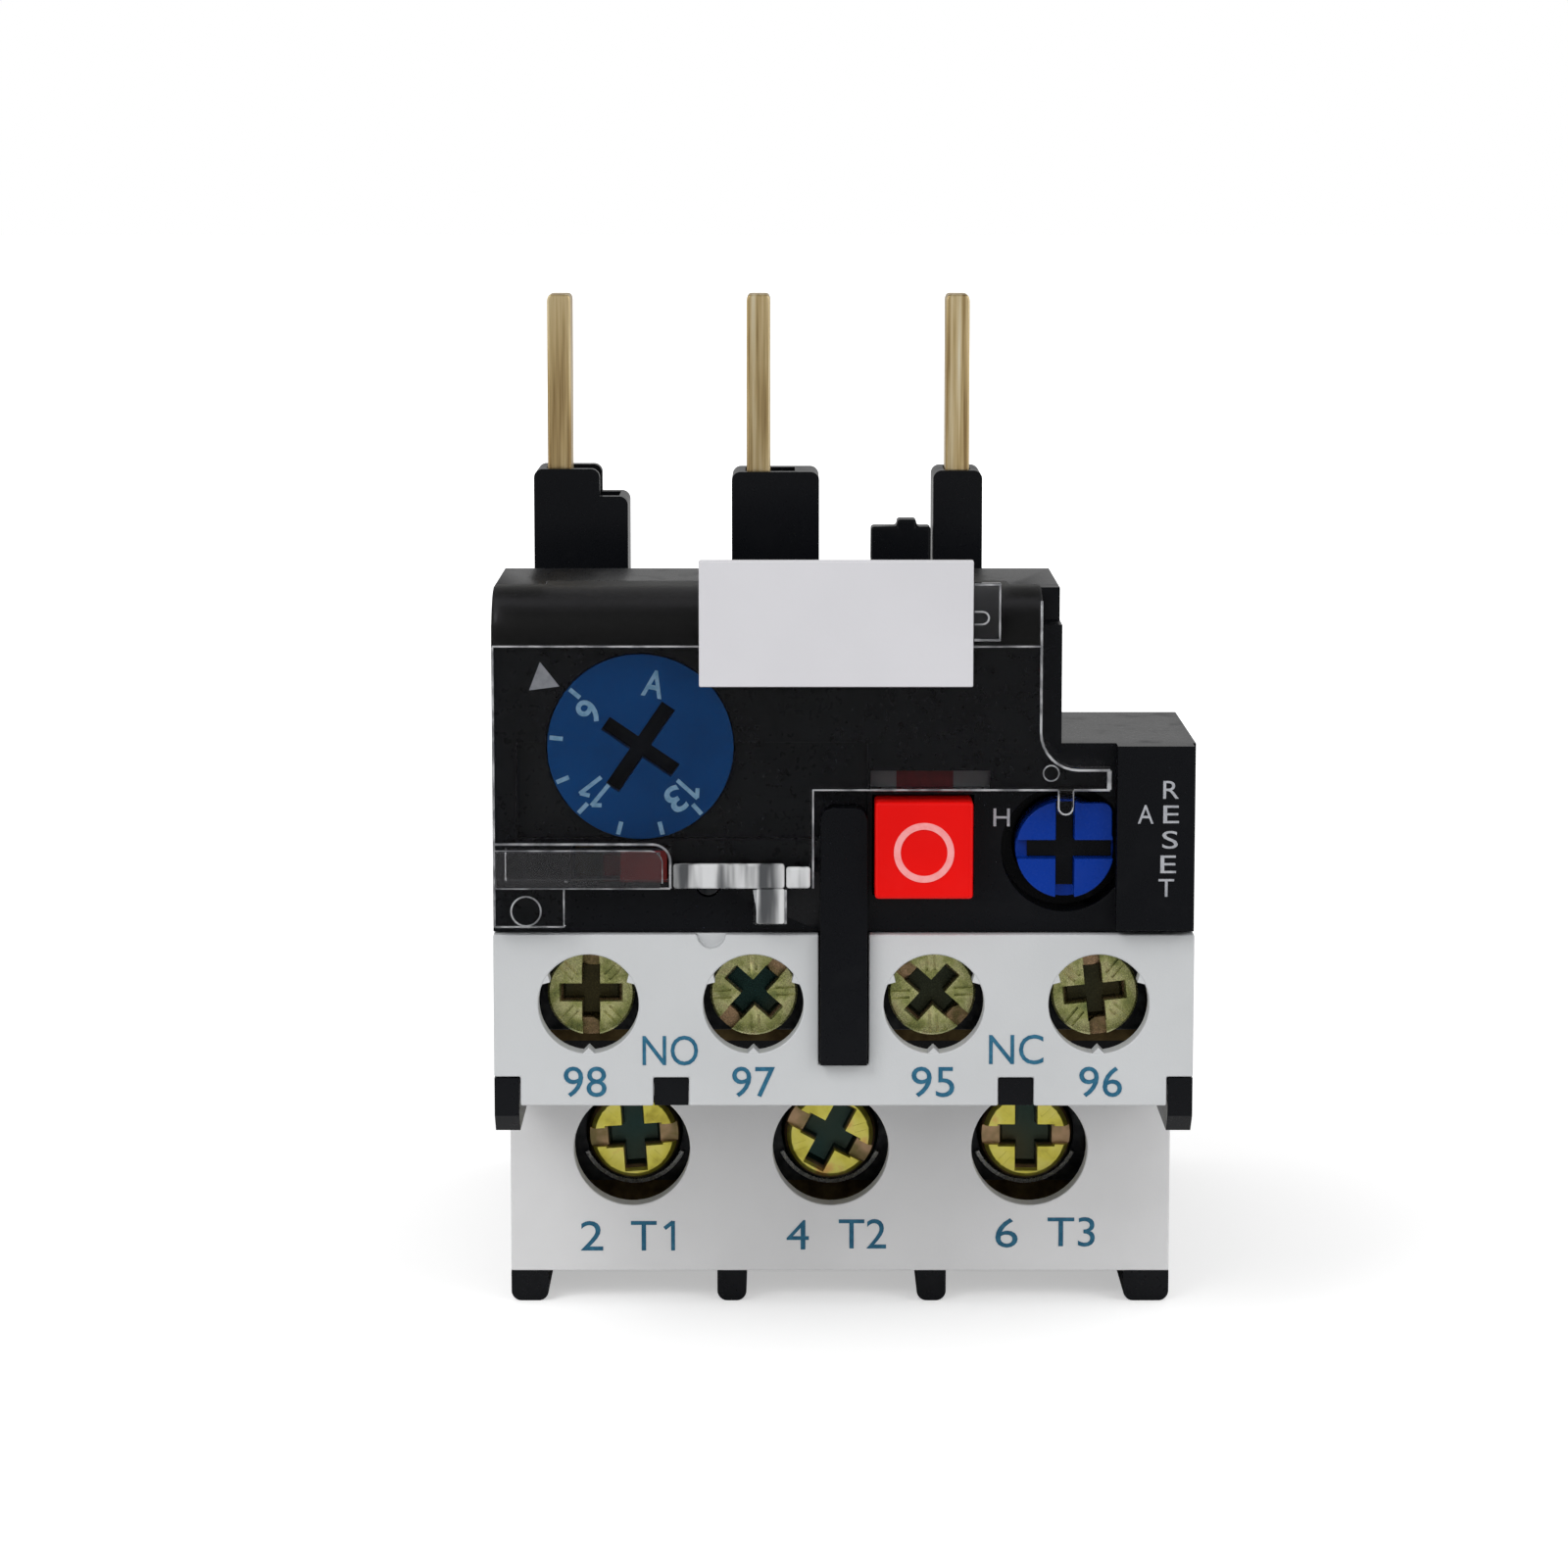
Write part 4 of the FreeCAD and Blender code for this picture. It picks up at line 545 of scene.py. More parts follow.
# %% [markdown]
# The stop button and the reset plunger each press on a coil spring that stands on the case. Each
# spring is copied with its corners merged, in spring steel, and stays on the case.

# %% Springs
for node, joint, free_end, fixed_end in (
        ("stop_button_spring", "stop_press", 6.3, 10.5), ("reset_spring", "reset_press", 7.1, 10.9)):
    coil = new_piece(node + "_coil", merged(node))
    settle(coil, spring_steel, "base", "spring_steel", node)
    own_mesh(coil)

# %% [markdown]
# Terminal screws have a head that fits both a flat and a cross driver: a slot across the whole
# head, a deep cross with the slot as one of its arms, and pairs of fine lines that mark the cross
# type. The head is a spun profile, and cutters are taken out of it with Boolean modifiers, the
# way a punch forms it.


# %% Screws
TIP_CHAMFER, HEAD_STEPS = 0.4, 48
LINE_WIDE, LINE_LONG, LINE_OFF, LINE_OUT = 0.16, 0.42, 0.24, 0.72
ABOVE_HEAD, PIT_TAPER, PIT_DEPTHS = -1.0, 0.72, 2.4


def spun(profile, steps):
    """Turn a (radius, depth) profile into a solid about the depth axis, front at 0."""
    bm = bmesh.new()
    corners = [bm.verts.new((radius * MM, depth * MM, 0)) for radius, depth in profile]
    edges = [bm.edges.new(pair) for pair in zip(corners, corners[1:])]
    bmesh.ops.spin(bm, geom=corners + edges, cent=(0, 0, 0), axis=(0, 1, 0),
                   angle=2 * math.pi, steps=steps, use_merge=True)
    bmesh.ops.remove_doubles(bm, verts=bm.verts, dist=SAME_POINT)
    bmesh.ops.recalc_face_normals(bm, faces=bm.faces)
    return bm


def block(bm, across, deep_from, deep_to, along, turn, shift=(0.0, 0.0), taper=1.0):
    """Add a bar to a bmesh: across and along in the face, between two depths."""
    made = bmesh.ops.create_cube(bm, size=1.0)["verts"]
    bmesh.ops.scale(bm, verts=made, vec=(across * MM, (deep_to - deep_from) * MM, along * MM))
    for vertex in made:
        if vertex.co.y > 0:
            vertex.co.x *= taper
            vertex.co.z *= taper
    bmesh.ops.translate(bm, verts=made, vec=(
        shift[0] * MM, (deep_from + deep_to) / 2 * MM, shift[1] * MM))
    bmesh.ops.rotate(bm, verts=made, cent=(0, 0, 0), matrix=Matrix.Rotation(turn, 3, "Y"))
    return made


def cut_out(bm, *cutters):
    """Take cutter bmeshes out of a bmesh with Boolean modifiers."""
    solid = new_piece("blank", bm)
    tools = [new_piece("cutter", cutter) for cutter in cutters]
    for tool in tools:
        cutting = solid.modifiers.new("cut", "BOOLEAN")
        cutting.operation = "DIFFERENCE"
        cutting.object = tool
    graph = bpy.context.evaluated_depsgraph_get()
    result = bmesh.new()
    result.from_mesh(bpy.data.meshes.new_from_object(solid.evaluated_get(graph)))
    for thing in [solid, *tools]:
        bpy.data.objects.remove(thing)
    bmesh.ops.remove_doubles(result, verts=result.verts, dist=2 * SAME_POINT)
    return result


def cutter(*bars):
    bm = bmesh.new()
    for bar in bars:
        block(bm, *bar)
    return bm


def screw(radius, crown, thick, shank, end, slot_wide, slot_deep, arm, along, across, marks,
          turn):
    """A slotted cross-recess screw with its slot turned from upright.

    The crown is the (radius, depth) profile of the head's face, in parts of the radius. The
    cross reaches along the slot and across it. The marks are the depth of the fine lines.
    """
    face = [(far * radius, deep) for far, deep in crown]
    bm = spun([(0, 0), *face, (radius, thick), (shank, thick), (shank, end - TIP_CHAMFER),
               (shank - TIP_CHAMFER, end), (0, end)], HEAD_STEPS)
    pit = slot_deep * PIT_DEPTHS
    slot = cutter((slot_wide, ABOVE_HEAD, slot_deep, radius * 2 + 1, turn))
    cross = cutter((arm, ABOVE_HEAD, pit, along, turn, (0, 0), PIT_TAPER))
    other = cutter((across, ABOVE_HEAD, pit, arm, turn, (0, 0), PIT_TAPER))
    lines = cutter(*[
        (LINE_WIDE, ABOVE_HEAD, marks, radius * LINE_LONG,
         turn + math.radians(45 + 90 * quarter), (side * LINE_OFF, radius * LINE_OUT))
        for quarter in range(4) for side in (-1, 1)])
    return cut_out(bm, slot, cross, other, lines)


def screw_row(name, node, finish, height, depth, places, **form):
    """One piece with a row of screws that stands for the node's screws."""
    row = bmesh.new()
    for across, degrees in places:
        one = screw(turn=math.radians(degrees), **form)
        bmesh.ops.translate(one, verts=one.verts, vec=spot(across, depth, height))
        mesh = bpy.data.meshes.new("one_screw")
        one.to_mesh(mesh)
        one.free()
        row.from_mesh(mesh)
        bpy.data.meshes.remove(mesh)
    piece = new_piece(name, row)
    soften(piece, 0.05, 1)
    return settle(piece, finish, "base", "plated_steel", node)


screw_row("aux_screws", "aux_terminal_screws", zinc_aux, 23.85, AUX_HEAD,
          [(-16.4, 0), (-5.8, 42), (5.8, -48), (16.4, -6)],
          radius=2.85, crown=[(0.70, 0.03), (0.95, 0.08), (1.0, 0.30)], thick=2.0, shank=1.7,
          end=9.4, slot_wide=1.1, slot_deep=0.6, arm=1.35, along=4.3, across=4.7, marks=0.28)
# The main heads' rim sinks deep enough to take the painted recess shade, so it renders as a dark
# ring.
screw_row("main_screws", "main_terminal_screws", zinc_main, 10.65, MAIN_HEAD,
          [(-14.2, 86), (-0.65, 118), (12.9, 90)],
          radius=3.35, crown=[(0.80, 0.03), (0.86, 0.25), (0.92, 0.75), (1.0, 1.4)], thick=2.4,
          shank=2.0, end=7.3, slot_wide=1.3, slot_deep=0.7, arm=1.75, along=4.4, across=5.6,
          marks=0.06)
print("screws: 7")

# %% [markdown]
# Lettering is text turned into a mesh, fitted to a width and a height, stood up to face the front
# and pushed a few hundredths of a millimetre out of the surface like a layer of ink. Only plain
# function marks are printed: terminal numbers, contact types and the reset legend.

# %% Lettering
INK_THICK = 0.03


def text_mesh(words, bold):
    """Flat text as a bmesh, with a little thickness and its strokes widened by bold."""
    curve = bpy.data.curves.new("words", "FONT")
    curve.body = words
    curve.extrude = 0.01
    curve.offset = bold
    curve.resolution_u = 4
    holder = bpy.data.objects.new("words", curve)
    scene.collection.objects.link(holder)
    graph = bpy.context.evaluated_depsgraph_get()
    bm = bmesh.new()
    bm.from_mesh(bpy.data.meshes.new_from_object(holder.evaluated_get(graph)))
    bpy.data.objects.remove(holder)
    return bm


def letters(name, words, across, up, depth, wide, high, finish, body, slot, turn=0.0, bold=0.0):
    """Printed words centred on a place of a front face, fitted to a width and a height."""
    bm = text_mesh(words, bold)
    lows = [min(v.co[axis] for v in bm.verts) for axis in range(3)]
    highs = [max(v.co[axis] for v in bm.verts) for axis in range(3)]
    middle = Vector([(low + high) / 2 for low, high in zip(lows, highs)])
    sizes = [high - low for low, high in zip(lows, highs)]
    bmesh.ops.translate(bm, verts=bm.verts, vec=-middle)
    bmesh.ops.scale(bm, verts=bm.verts, vec=(
        wide * MM / sizes[0], high * MM / sizes[1], INK_THICK * 2 * MM / sizes[2]))
    bmesh.ops.rotate(bm, verts=bm.verts, cent=(0, 0, 0), matrix=Matrix.Rotation(turn, 3, "Z"))
    bmesh.ops.rotate(bm, verts=bm.verts, cent=(0, 0, 0),
                     matrix=Matrix.Rotation(math.radians(90), 3, "X"))
    bmesh.ops.translate(bm, verts=bm.verts, vec=spot(across, depth, up))
    bmesh.ops.remove_doubles(bm, verts=bm.verts, dist=SAME_POINT)
    bmesh.ops.recalc_face_normals(bm, faces=bm.faces)
    return settle(new_piece(name, bm), finish, body, slot)


FLAG_LONG, FLAG_TURN, FLAG_PLACE = 0.36, math.radians(-38), Vector((-0.14, 0, 0.36))


def numeral_one(name, across, up, depth, high, finish, body, slot, turn=0.0, stroke=0.13):
    """A printed 1 of a stem and a slanted flag, which the font draws as a bare stem."""
    bm = bmesh.new()
    wide = stroke * high
    block(bm, wide, -INK_THICK, INK_THICK, high, 0.0)
    thin = INK_THICK * 0.9
    flag = block(bm, FLAG_LONG * high, -thin, thin, wide, FLAG_TURN)
    bmesh.ops.translate(bm, verts=flag, vec=FLAG_PLACE * high * MM)
    bmesh.ops.rotate(bm, verts=bm.verts, cent=(0, 0, 0), matrix=Matrix.Rotation(-turn, 3, "Y"))
    bmesh.ops.translate(bm, verts=bm.verts, vec=spot(across, depth, up))
    return settle(new_piece(name, bm), finish, body, slot)


AUX_FACE, MAIN_FACE, CASE_FACE, COLUMN_FACE = 2.8, 19.9, 3.4, 1.8
for words, across, up, wide, high in (
        ("98", -16.64, 18.78, 2.76, 1.99), ("97", -5.79, 18.78, 2.76, 1.99),
        ("95", 5.76, 18.78, 2.76, 1.99), ("96", 16.56, 18.78, 2.76, 1.99),
        ("NO", -11.15, 20.83, 3.57, 1.95), ("NC", 11.11, 20.90, 3.5, 1.95)):
    letters("mark_" + words, words, across, up, AUX_FACE, wide, high, teal_ink, "base",
            "grey_cover")
for number, across, up in (("2", -16.97, 4.54), ("4", -2.89, 4.61), ("6", 11.39, 4.74)):
    letters("mark_" + number, number, across, up, MAIN_FACE, 1.53, 2.06, teal_ink, "base",
            "grey_cover_dark")
letters("mark_T", "T", -13.42, 4.54, MAIN_FACE, 1.76, 2.06, teal_ink, "base", "grey_cover_dark")
numeral_one("mark_T_1", -11.42, 4.54, MAIN_FACE, 2.06, teal_ink, "base", "grey_cover_dark")
for words, across, up in (("T2", 1.53, 4.68), ("T3", 15.81, 4.81)):
    letters("mark_" + words, words, across, up, MAIN_FACE, 3.24, 2.06, teal_ink, "base",
            "grey_cover_dark")
letters("mark_hand", "H", 10.10, 35.91, CASE_FACE, 1.05, 1.15, pale_ink, "base", "black_plastic")
letters("mark_auto", "A", 19.20, 36.34, COLUMN_FACE, 1.0, 1.2, pale_ink, "base", "black_plastic")
for place, (letter, across, up) in enumerate((
        ("R", 20.80, 37.92), ("E", 20.82, 36.34), ("S", 20.77, 34.70), ("E", 20.67, 33.12),
        ("T", 20.56, 31.60))):
    letters("legend_%d_%s" % (place, letter), letter, across, up, COLUMN_FACE, 1.0, 1.14,
            pale_ink, "base", "black_plastic")
print("lettering ready")

# %% [markdown]
# The dial carries its scale: short ticks at the rim and three numbers that face outwards, so that
# they turn upright as the dial brings them under the pointer. They ride on the dial.

# %% Dial scale
DIAL_MIDDLE, DIAL_UP, DIAL_FACE = -13.0, 40.5, 3.3


def polar(radius, degrees):
    angle = math.radians(degrees)
    return DIAL_MIDDLE + radius * math.cos(angle), DIAL_UP + radius * math.sin(angle)


def printed_bar(name, across, up, depth, wide, high, degrees, finish, body, slot):
    """A printed stroke, turned in the face."""
    bm = bmesh.new()
    block(bm, wide, -INK_THICK, INK_THICK, high, -math.radians(degrees))
    bmesh.ops.translate(bm, verts=bm.verts, vec=spot(across, depth, up))
    return settle(new_piece(name, bm), finish, body, slot)


for place, degrees in enumerate((140.5, 174.0, 203.0, 227.0, 255.6, 284.0, 312.0)):
    across, up = polar(5.4, degrees)
    printed_bar("dial_tick_%d" % place, across, up, DIAL_FACE, 0.85, 0.28, degrees, dial_ink,
                "dial", "blue_dial")
for place, degrees in enumerate((217.7, 230.2, 317.7)):
    across, up = polar(4.05, degrees)
    numeral_one("dial_one_%d" % place, across, up, DIAL_FACE, 1.75, dial_ink, "dial", "blue_dial",
                math.radians(degrees - 90), 0.15)
for name, word, radius, degrees, wide in (
        ("dial_9", "9", 4.0, 145.0, 1.1), ("dial_13_b", "3", 4.05, 303.5, 1.1),
        ("dial_unit", "A", 4.15, 77.8, 1.35)):
    across, up = polar(radius, degrees)
    letters(name, word, across, up, DIAL_FACE, wide, 1.75, dial_ink, "dial", "blue_dial",
            math.radians(degrees - 90), 0.018)
print("dial scale ready")

# %% [markdown]
# The pointer beside the dial is a printed triangle. The stop button carries a pale ring, which is
# a spun band, and the trip flag a dark red field behind its window.


# %% Pointer, ring and flag
def printed_outline(name, corners, depth, finish, body, slot):
    """A printed field from its corners in the face."""
    bm = bmesh.new()
    face = bm.faces.new([bm.verts.new(spot(across, depth, up)) for across, up in corners])
    grown = bmesh.ops.extrude_face_region(bm, geom=[face])["geom"]
    raised = [item for item in grown if isinstance(item, bmesh.types.BMVert)]
    bmesh.ops.translate(bm, verts=raised, vec=(0, -INK_THICK * MM, 0))
    bmesh.ops.recalc_face_normals(bm, faces=bm.faces)
    return settle(new_piece(name, bm), finish, body, slot)


printed_outline("pointer_mark", [(-19.38, 45.95), (-20.08, 44.13), (-18.14, 44.38)], CASE_FACE,
                pale_ink, "base", "black_plastic")
ring = spun([(1.49, 0.05), (1.49, -0.04), (1.92, -0.04), (1.92, 0.05), (1.49, 0.05)], 64)
bmesh.ops.translate(ring, verts=ring.verts, vec=spot(5.07, 0.9, 34.0))
settle(new_piece("stop_ring", ring), ring_ink, "stop", "red_plastic")
printed_outline("flag_field", [(3.37, 37.7), (7.01, 37.7), (7.01, 39.0), (3.37, 39.0)], 4.2,
                flag_red, "carrier", "flag_grey")
print("marks ready")

# %% [markdown]
# The knob's driver slots end in a dark floor, so the four blue pads stand out. That floor is
# painted shade: two crossed bars of black plastic in the slots, a little short of the left and
# the lower rim.


# %% Painted shade in the knob's slots
def bar(name, low, high, front, back, finish, body, slot, width):
    """A bevelled bar between two corners of the face and two depths."""
    bm = bmesh.new()
    middle = ((low[0] + high[0]) / 2, (low[1] + high[1]) / 2)
    block(bm, high[0] - low[0], front - HALF_DEEP, back - HALF_DEEP, high[1] - low[1], 0.0,
          middle)
    piece = soften(new_piece(name, bm), width, 3)
    return settle(piece, finish, body, slot)


KNOB, KNOB_UP, SLOT_FLOOR = 14.15, 33.9, 3.9
bar("knob_slot_shade_across", (KNOB - 2.4, KNOB_UP - 0.56), (KNOB + 3.0, KNOB_UP + 0.56),
    SLOT_FLOOR - 0.08, SLOT_FLOOR + 0.3, black, "knob", "blue_knob", 0.04)
bar("knob_slot_shade_upright", (KNOB - 0.56, KNOB_UP - 2.4), (KNOB + 0.56, KNOB_UP + 3.0),
    SLOT_FLOOR - 0.07, SLOT_FLOOR + 0.3, black, "knob", "blue_knob", 0.04)
print("knob floors ready")

# %% [markdown]
# The screw holes of the grey plate have three small nibs each, which keep the screws from falling
# out. Behind each main screw head the dark clamp washer turns up in a lip of bright steel, a
# painted highlight where the washer catches light. Both are small trim: the nibs are
# three-cornered prisms and the lip arcs are parts of a spun ring.


# %% Nibs and washer lips
NIB_PLACES, NIB_SWING = (30, 150, 270), 7
NIB_SUNK, LIP_SLOPE, LIP_STEPS = 0.05, 0.08, 24


def nibs(name, middles, height, depth, thick, radius, reach, finish, slot):
    """Small prisms that point into the holes of a plate."""
    bm = bmesh.new()
    for middle in middles:
        for degrees in NIB_PLACES:
            corners = []
            for far, swing in ((radius + NIB_SUNK, -NIB_SWING), (radius - reach, 0),
                               (radius + NIB_SUNK, NIB_SWING)):
                angle = math.radians(degrees + swing)
                corners.append(bm.verts.new(spot(
                    middle + far * math.cos(angle), depth + NIB_SUNK,
                    height + far * math.sin(angle))))
            grown = bmesh.ops.extrude_face_region(bm, geom=[bm.faces.new(corners)])["geom"]
            moved = [item for item in grown if isinstance(item, bmesh.types.BMVert)]
            bmesh.ops.translate(bm, verts=moved, vec=(0, (thick - 2 * NIB_SUNK) * MM, 0))
    bmesh.ops.recalc_face_normals(bm, faces=bm.faces)
    return settle(new_piece(name, bm), finish, "base", slot)


AUX_HOLES, MAIN_HOLES = (-16.4, -5.8, 5.8, 16.4), (-14.2, -0.65, 12.9)
nibs("aux_hole_nibs", AUX_HOLES, 23.85, AUX_FACE, 1.6, 3.23, 0.38, grey, "grey_cover")


def lips(name, middles, height, depth, inner, outer, thick, start, sweep):
    """Arcs of a turned-up washer edge in bright steel: a painted highlight."""
    bm = bmesh.new()
    for middle in middles:
        corners = [bm.verts.new((radius * MM, deep * MM, 0)) for radius, deep in (
            (inner, 0), (inner + LIP_SLOPE, -thick), (outer - LIP_SLOPE, -thick), (outer, 0))]
        edges = [bm.edges.new(pair) for pair in zip(corners, corners[1:] + corners[:1])]
        face = bm.faces.new(corners)
        bmesh.ops.spin(bm, geom=[face], cent=(0, 0, 0), axis=(0, -1, 0),
                       angle=math.radians(sweep), steps=LIP_STEPS)
        made = [v for v in bm.verts if not v.tag]
        bmesh.ops.rotate(bm, verts=made, cent=(0, 0, 0),
                         matrix=Matrix.Rotation(math.radians(-start), 3, "Y"))
        bmesh.ops.translate(bm, verts=made, vec=spot(middle, depth, height))
        for vertex in made:
            vertex.tag = True
    bmesh.ops.recalc_face_normals(bm, faces=bm.faces)
    return settle(new_piece(name, bm), steel, "base", "plated_steel")


# Lower arcs only, where the dark washer catches light: a painted highlight.
lips("main_washer_glint_lips", MAIN_HOLES, 10.65, 26.4, 3.42, 3.85, 0.5, 205, 130)
print("nibs and lips ready")

# %% [markdown]
# A clear flap shows mostly by its edges. Light runs inside the sheet and leaves it at the rims,
# ribs and pin marks, so these read as bright lines on the black case. Each line is a painted
# highlight: a thin round bead of a pale, half-clear material along the flap's edge, half sunk in
# its face. The latch bar and the tongue are thicker, streaked pale and dark as painted highlight
# and shade.

# %% Edges of the clear flap
FLAP_FACE, BEAD_SUNK = 1.6, 0.3


def bead(name, points, radius, closed=False, depth=FLAP_FACE):
    """A round bead of pale, half-clear plastic along points of the flap's face: a painted highlight.
    """
    curve = bpy.data.curves.new(name, "CURVE")
    curve.dimensions = "3D"
    curve.bevel_depth = radius * MM
    curve.bevel_resolution = 2
    curve.use_fill_caps = True
    line = curve.splines.new("POLY")
    line.points.add(len(points) - 1)
    for point, (across, up) in zip(line.points, points):
        point.co = (*spot(across, depth + radius * BEAD_SUNK, up), 1.0)
    line.use_cyclic_u = closed
    holder = bpy.data.objects.new(name, curve)
    scene.collection.objects.link(holder)
    graph = bpy.context.evaluated_depsgraph_get()
    bm = bmesh.new()
    bm.from_mesh(bpy.data.meshes.new_from_object(holder.evaluated_get(graph)))
    bpy.data.objects.remove(holder)
    bmesh.ops.remove_doubles(bm, verts=bm.verts, dist=SAME_POINT)
    bmesh.ops.recalc_face_normals(bm, faces=bm.faces)
    return settle(new_piece(name, bm), edge_highlight, "cover", "clear_plastic")


def arc(across, up, radius, start, end, steps=8):
    """Points of an arc in the face, in degrees."""
    angles = [math.radians(start + (end - start) * step / steps) for step in range(steps + 1)]
    return [(across + radius * math.cos(a), up + radius * math.sin(a)) for a in angles]


bead("flap_step", [(-22.3, FLAP_STEP), (12.5, FLAP_STEP)], 0.07)
bead("flap_left_edge", [(-22.3, FLAP_STEP), (-22.3, 29.1)], 0.06)
bead("flap_right_edge", [(12.48, 50.0), (12.48, 41.6)] + arc(14.9, 41.6, 2.42, 180, 270)
     + [(16.9, 39.18)], 0.08)
bead("flap_tab_end", [(16.85, 39.15), (16.85, 37.95)], 0.15)
bead("flap_low_edge", [(16.9, 37.92), (14.6, 37.92)], 0.08)
bead("flap_prong_edge", [(14.58, 37.9), (14.58, 36.75)] + arc(14.1, 36.8, 0.46, 0, -180)
     + [(13.64, 37.9)], 0.06)
bead("flap_middle_edge", [(13.6, 37.92), (-1.98, 37.92), (-1.98, 31.6)], 0.075)
bead("flap_window_top", [(-22.3, 34.42), (-12.2, 34.42)] + arc(-12.2, 33.3, 1.12, 90, 0)
     + [(-11.08, 31.6)], 0.085)
bead("flap_window_inner", [(-22.3, 34.0), (-12.4, 34.0)] + arc(-12.4, 33.2, 0.8, 90, 0)
     + [(-11.6, 31.9)], 0.045)
bead("flap_window_low", [(-22.3, 31.58), (-11.1, 31.58)], 0.07)
bead("flap_corner_tab", [(-17.88, 31.5), (-17.88, 29.1), (-22.3, 29.1)], 0.06)
bead("flap_pin_mark", arc(-20.3, 30.1, 0.95, 0, 345, 23), 0.06, closed=True)
bead("flap_small_mark", arc(13.15, 39.0, 0.5, 0, 345, 17), 0.05, closed=True)
bead("flap_tongue_left", [(-5.7, 31.5), (-5.35, 29.3)], 0.12)
bead("flap_tongue_right", [(-3.75, 31.5), (-3.75, 29.3)], 0.10)
bar("flap_window_pane", (-22.2, 31.65), (-11.7, 33.95), 1.2, 1.5, pane_clear, "cover",
    "clear_plastic", 0.06)
bar("flap_latch_bar", (-10.9, 31.6), (-3.8, 33.2), 1.3, 1.9, rib_streaks, "cover",
    "clear_plastic", 0.2)
bar("flap_latch_end", (-3.7, 31.6), (-2.15, 33.0), 1.4, 1.9, rib_streaks, "cover",
    "clear_plastic", 0.2)
bar("flap_tongue_bar", (-5.6, 29.3), (-3.8, 31.6), 1.4, 1.9, rib_streaks, "cover",
    "clear_plastic", 0.15)
bar("holder_tab", (8.15, 47.6), (9.8, 51.1), 0.85, 1.5, pane_clear, "cover",
    "clear_plastic", 0.12)
bead("holder_tab_edge", [(8.2, 51.1), (9.8, 51.1), (9.8, 47.6), (8.2, 47.6)], 0.09, depth=0.8)
bead("holder_tab_ring", [(8.2, 49.4), (8.7, 49.4)] + arc(8.7, 49.0, 0.4, 90, -90) + [(8.2, 48.6)],
     0.07, depth=0.8)
print("flap edges ready")

# %% [markdown]
# The stage is a pale floor under soft light. Its white comes from what the camera sees of the
# floor and the world, and the lamps stay at a plain level, so that the colours render about as
# they are written. A black card lies on the floor in front of the relay, as a photographer lays
# one, so that the glossy black case mirrors a dark field and stays black.

# %% Floor
FLOOR_HALF = 3.0
floor_finish = Finish("pale_floor", Roughness=0.9, Specular_IOR_Level=0.1)
across, ahead = floor_finish.along("X"), floor_finish.along("Y")
card = ((1 - across.size().span(0.09, 0.15)) * ahead.span(-0.75, -0.60)
        * (1 - ahead.span(-0.14, -0.09)))
floor_finish.drive("Base Color", floor_finish.blend(
    card, floor_finish.blend(floor_finish.noise(40.0), (0.86, 0.86, 0.86, 1),
                             (0.89, 0.89, 0.89, 1)), (0.12, 0.12, 0.12, 1)))
floor_finish.shader.inputs["Emission Color"].default_value = (1, 1, 1, 1)
reach = floor_finish.node("ShaderNodeVectorMath", {"operation": "LENGTH"},
                          {0: floor_finish.place})
far = Wire(floor_finish, reach.outputs["Value"]).span(0.10, 0.40)
floor_finish.drive("Emission Strength", floor_finish.seen() * (
    0.45 + far * 0.4 + card * 0.5))
floor_bm = bmesh.new()
bmesh.ops.create_grid(floor_bm, x_segments=2, y_segments=2, size=FLOOR_HALF)
floor = new_piece("pale_floor", floor_bm)
floor.data.materials.append(floor_finish.material)
print("floor ready")

# %% [markdown]
# The world fills the shadows. Seen straight on it is white. Mirrored in gloss it is brighter at
# the sides and behind, as with a backdrop and two pale walls, and darker in front.

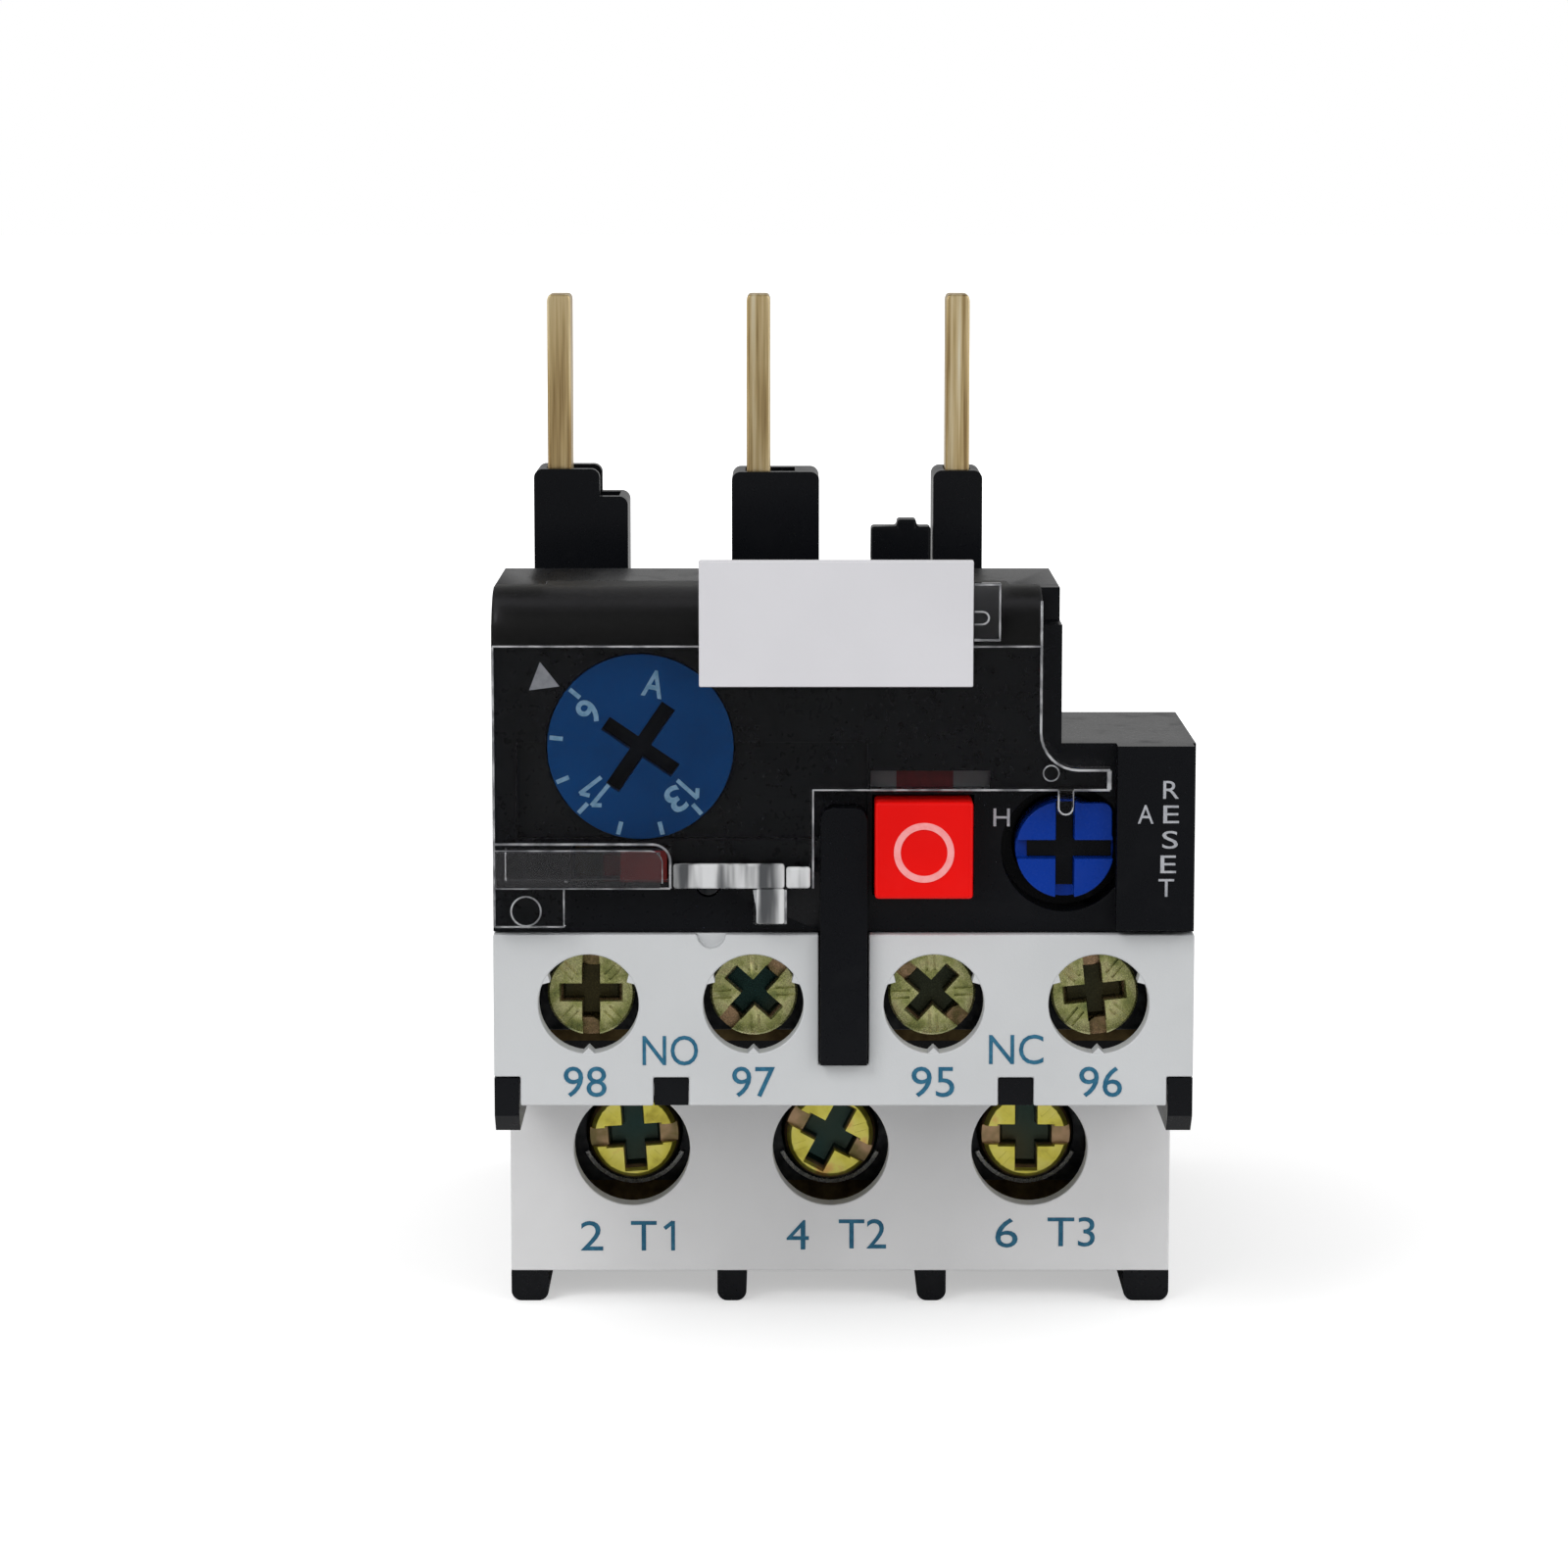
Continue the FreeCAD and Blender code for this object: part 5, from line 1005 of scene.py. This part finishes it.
# %% World
class Sky(Finish):
    """The world's nodes, wired as a material's are."""

    def __init__(self, world):
        world.use_nodes = True
        self.tree = world.node_tree
        self.shader = self.tree.nodes["Background"]


world = bpy.data.worlds.new("studio")
scene.world = world
sky = Sky(world)
towards = Wire(sky, sky.node("ShaderNodeTexCoord", {}, {}).outputs["Generated"])
mirrored = (0.06 + sky.along("Y", towards).span(0.2, 0.9) * 0.42
            + sky.along("X", towards).size().span(0.5, 0.9) * 0.60)
glossy = Wire(sky, sky.node("ShaderNodeLightPath", {}, {}).outputs["Is Glossy Ray"])
unseen = glossy * mirrored + (1 - glossy) * 0.66
seen = sky.seen()
sky.drive("Strength", seen + (1 - seen) * unseen)
sky.drive("Color", (1, 1, 1, 1))
print("world ready")

# %% [markdown]
# Three soft square lamps give the form: a key from the upper left, a weaker fill from the right
# and a faint low one, which reaches under the edges of the plates.


# %% Lamps
def lamp(name, place, size, watts, aim=(0.0, 0.0, 0.035)):
    """A soft square lamp that looks at the relay."""
    data = bpy.data.lights.new(name, "AREA")
    data.size, data.energy = size, watts
    thing = bpy.data.objects.new(name, data)
    scene.collection.objects.link(thing)
    thing.location = place
    thing.rotation_euler = (Vector(aim) - Vector(place)).to_track_quat("-Z", "Y").to_euler()


lamp("key", (-0.45, -0.55, 0.60), 0.45, 2.6)
lamp("fill", (0.60, -0.45, 0.35), 0.50, 1.2)
lamp("low", (0.15, -0.75, 0.16), 0.40, 0.25, (0.0, 0.0, 0.01))
print("lamps: 3")

# %% [markdown]
# The camera stands low in front of the relay and looks down a little. A long lens at 30 cm gives
# the flat studio view of the photograph.

# %% Camera
SENSOR, LENS, LOOK_UP = 36.0, 108.34, math.radians(82)
camera_data = bpy.data.cameras.new("camera")
camera_data.sensor_width = SENSOR
camera_data.lens = LENS
camera_data.clip_start = 0.01
camera = bpy.data.objects.new("camera", camera_data)
scene.collection.objects.link(camera)
camera.location = Vector((-3.832, -328.48, 80.07)) * MM
camera.rotation_euler = (LOOK_UP, 0, 0)
scene.camera = camera
scene.view_settings.view_transform = "Standard"
print("camera ready")
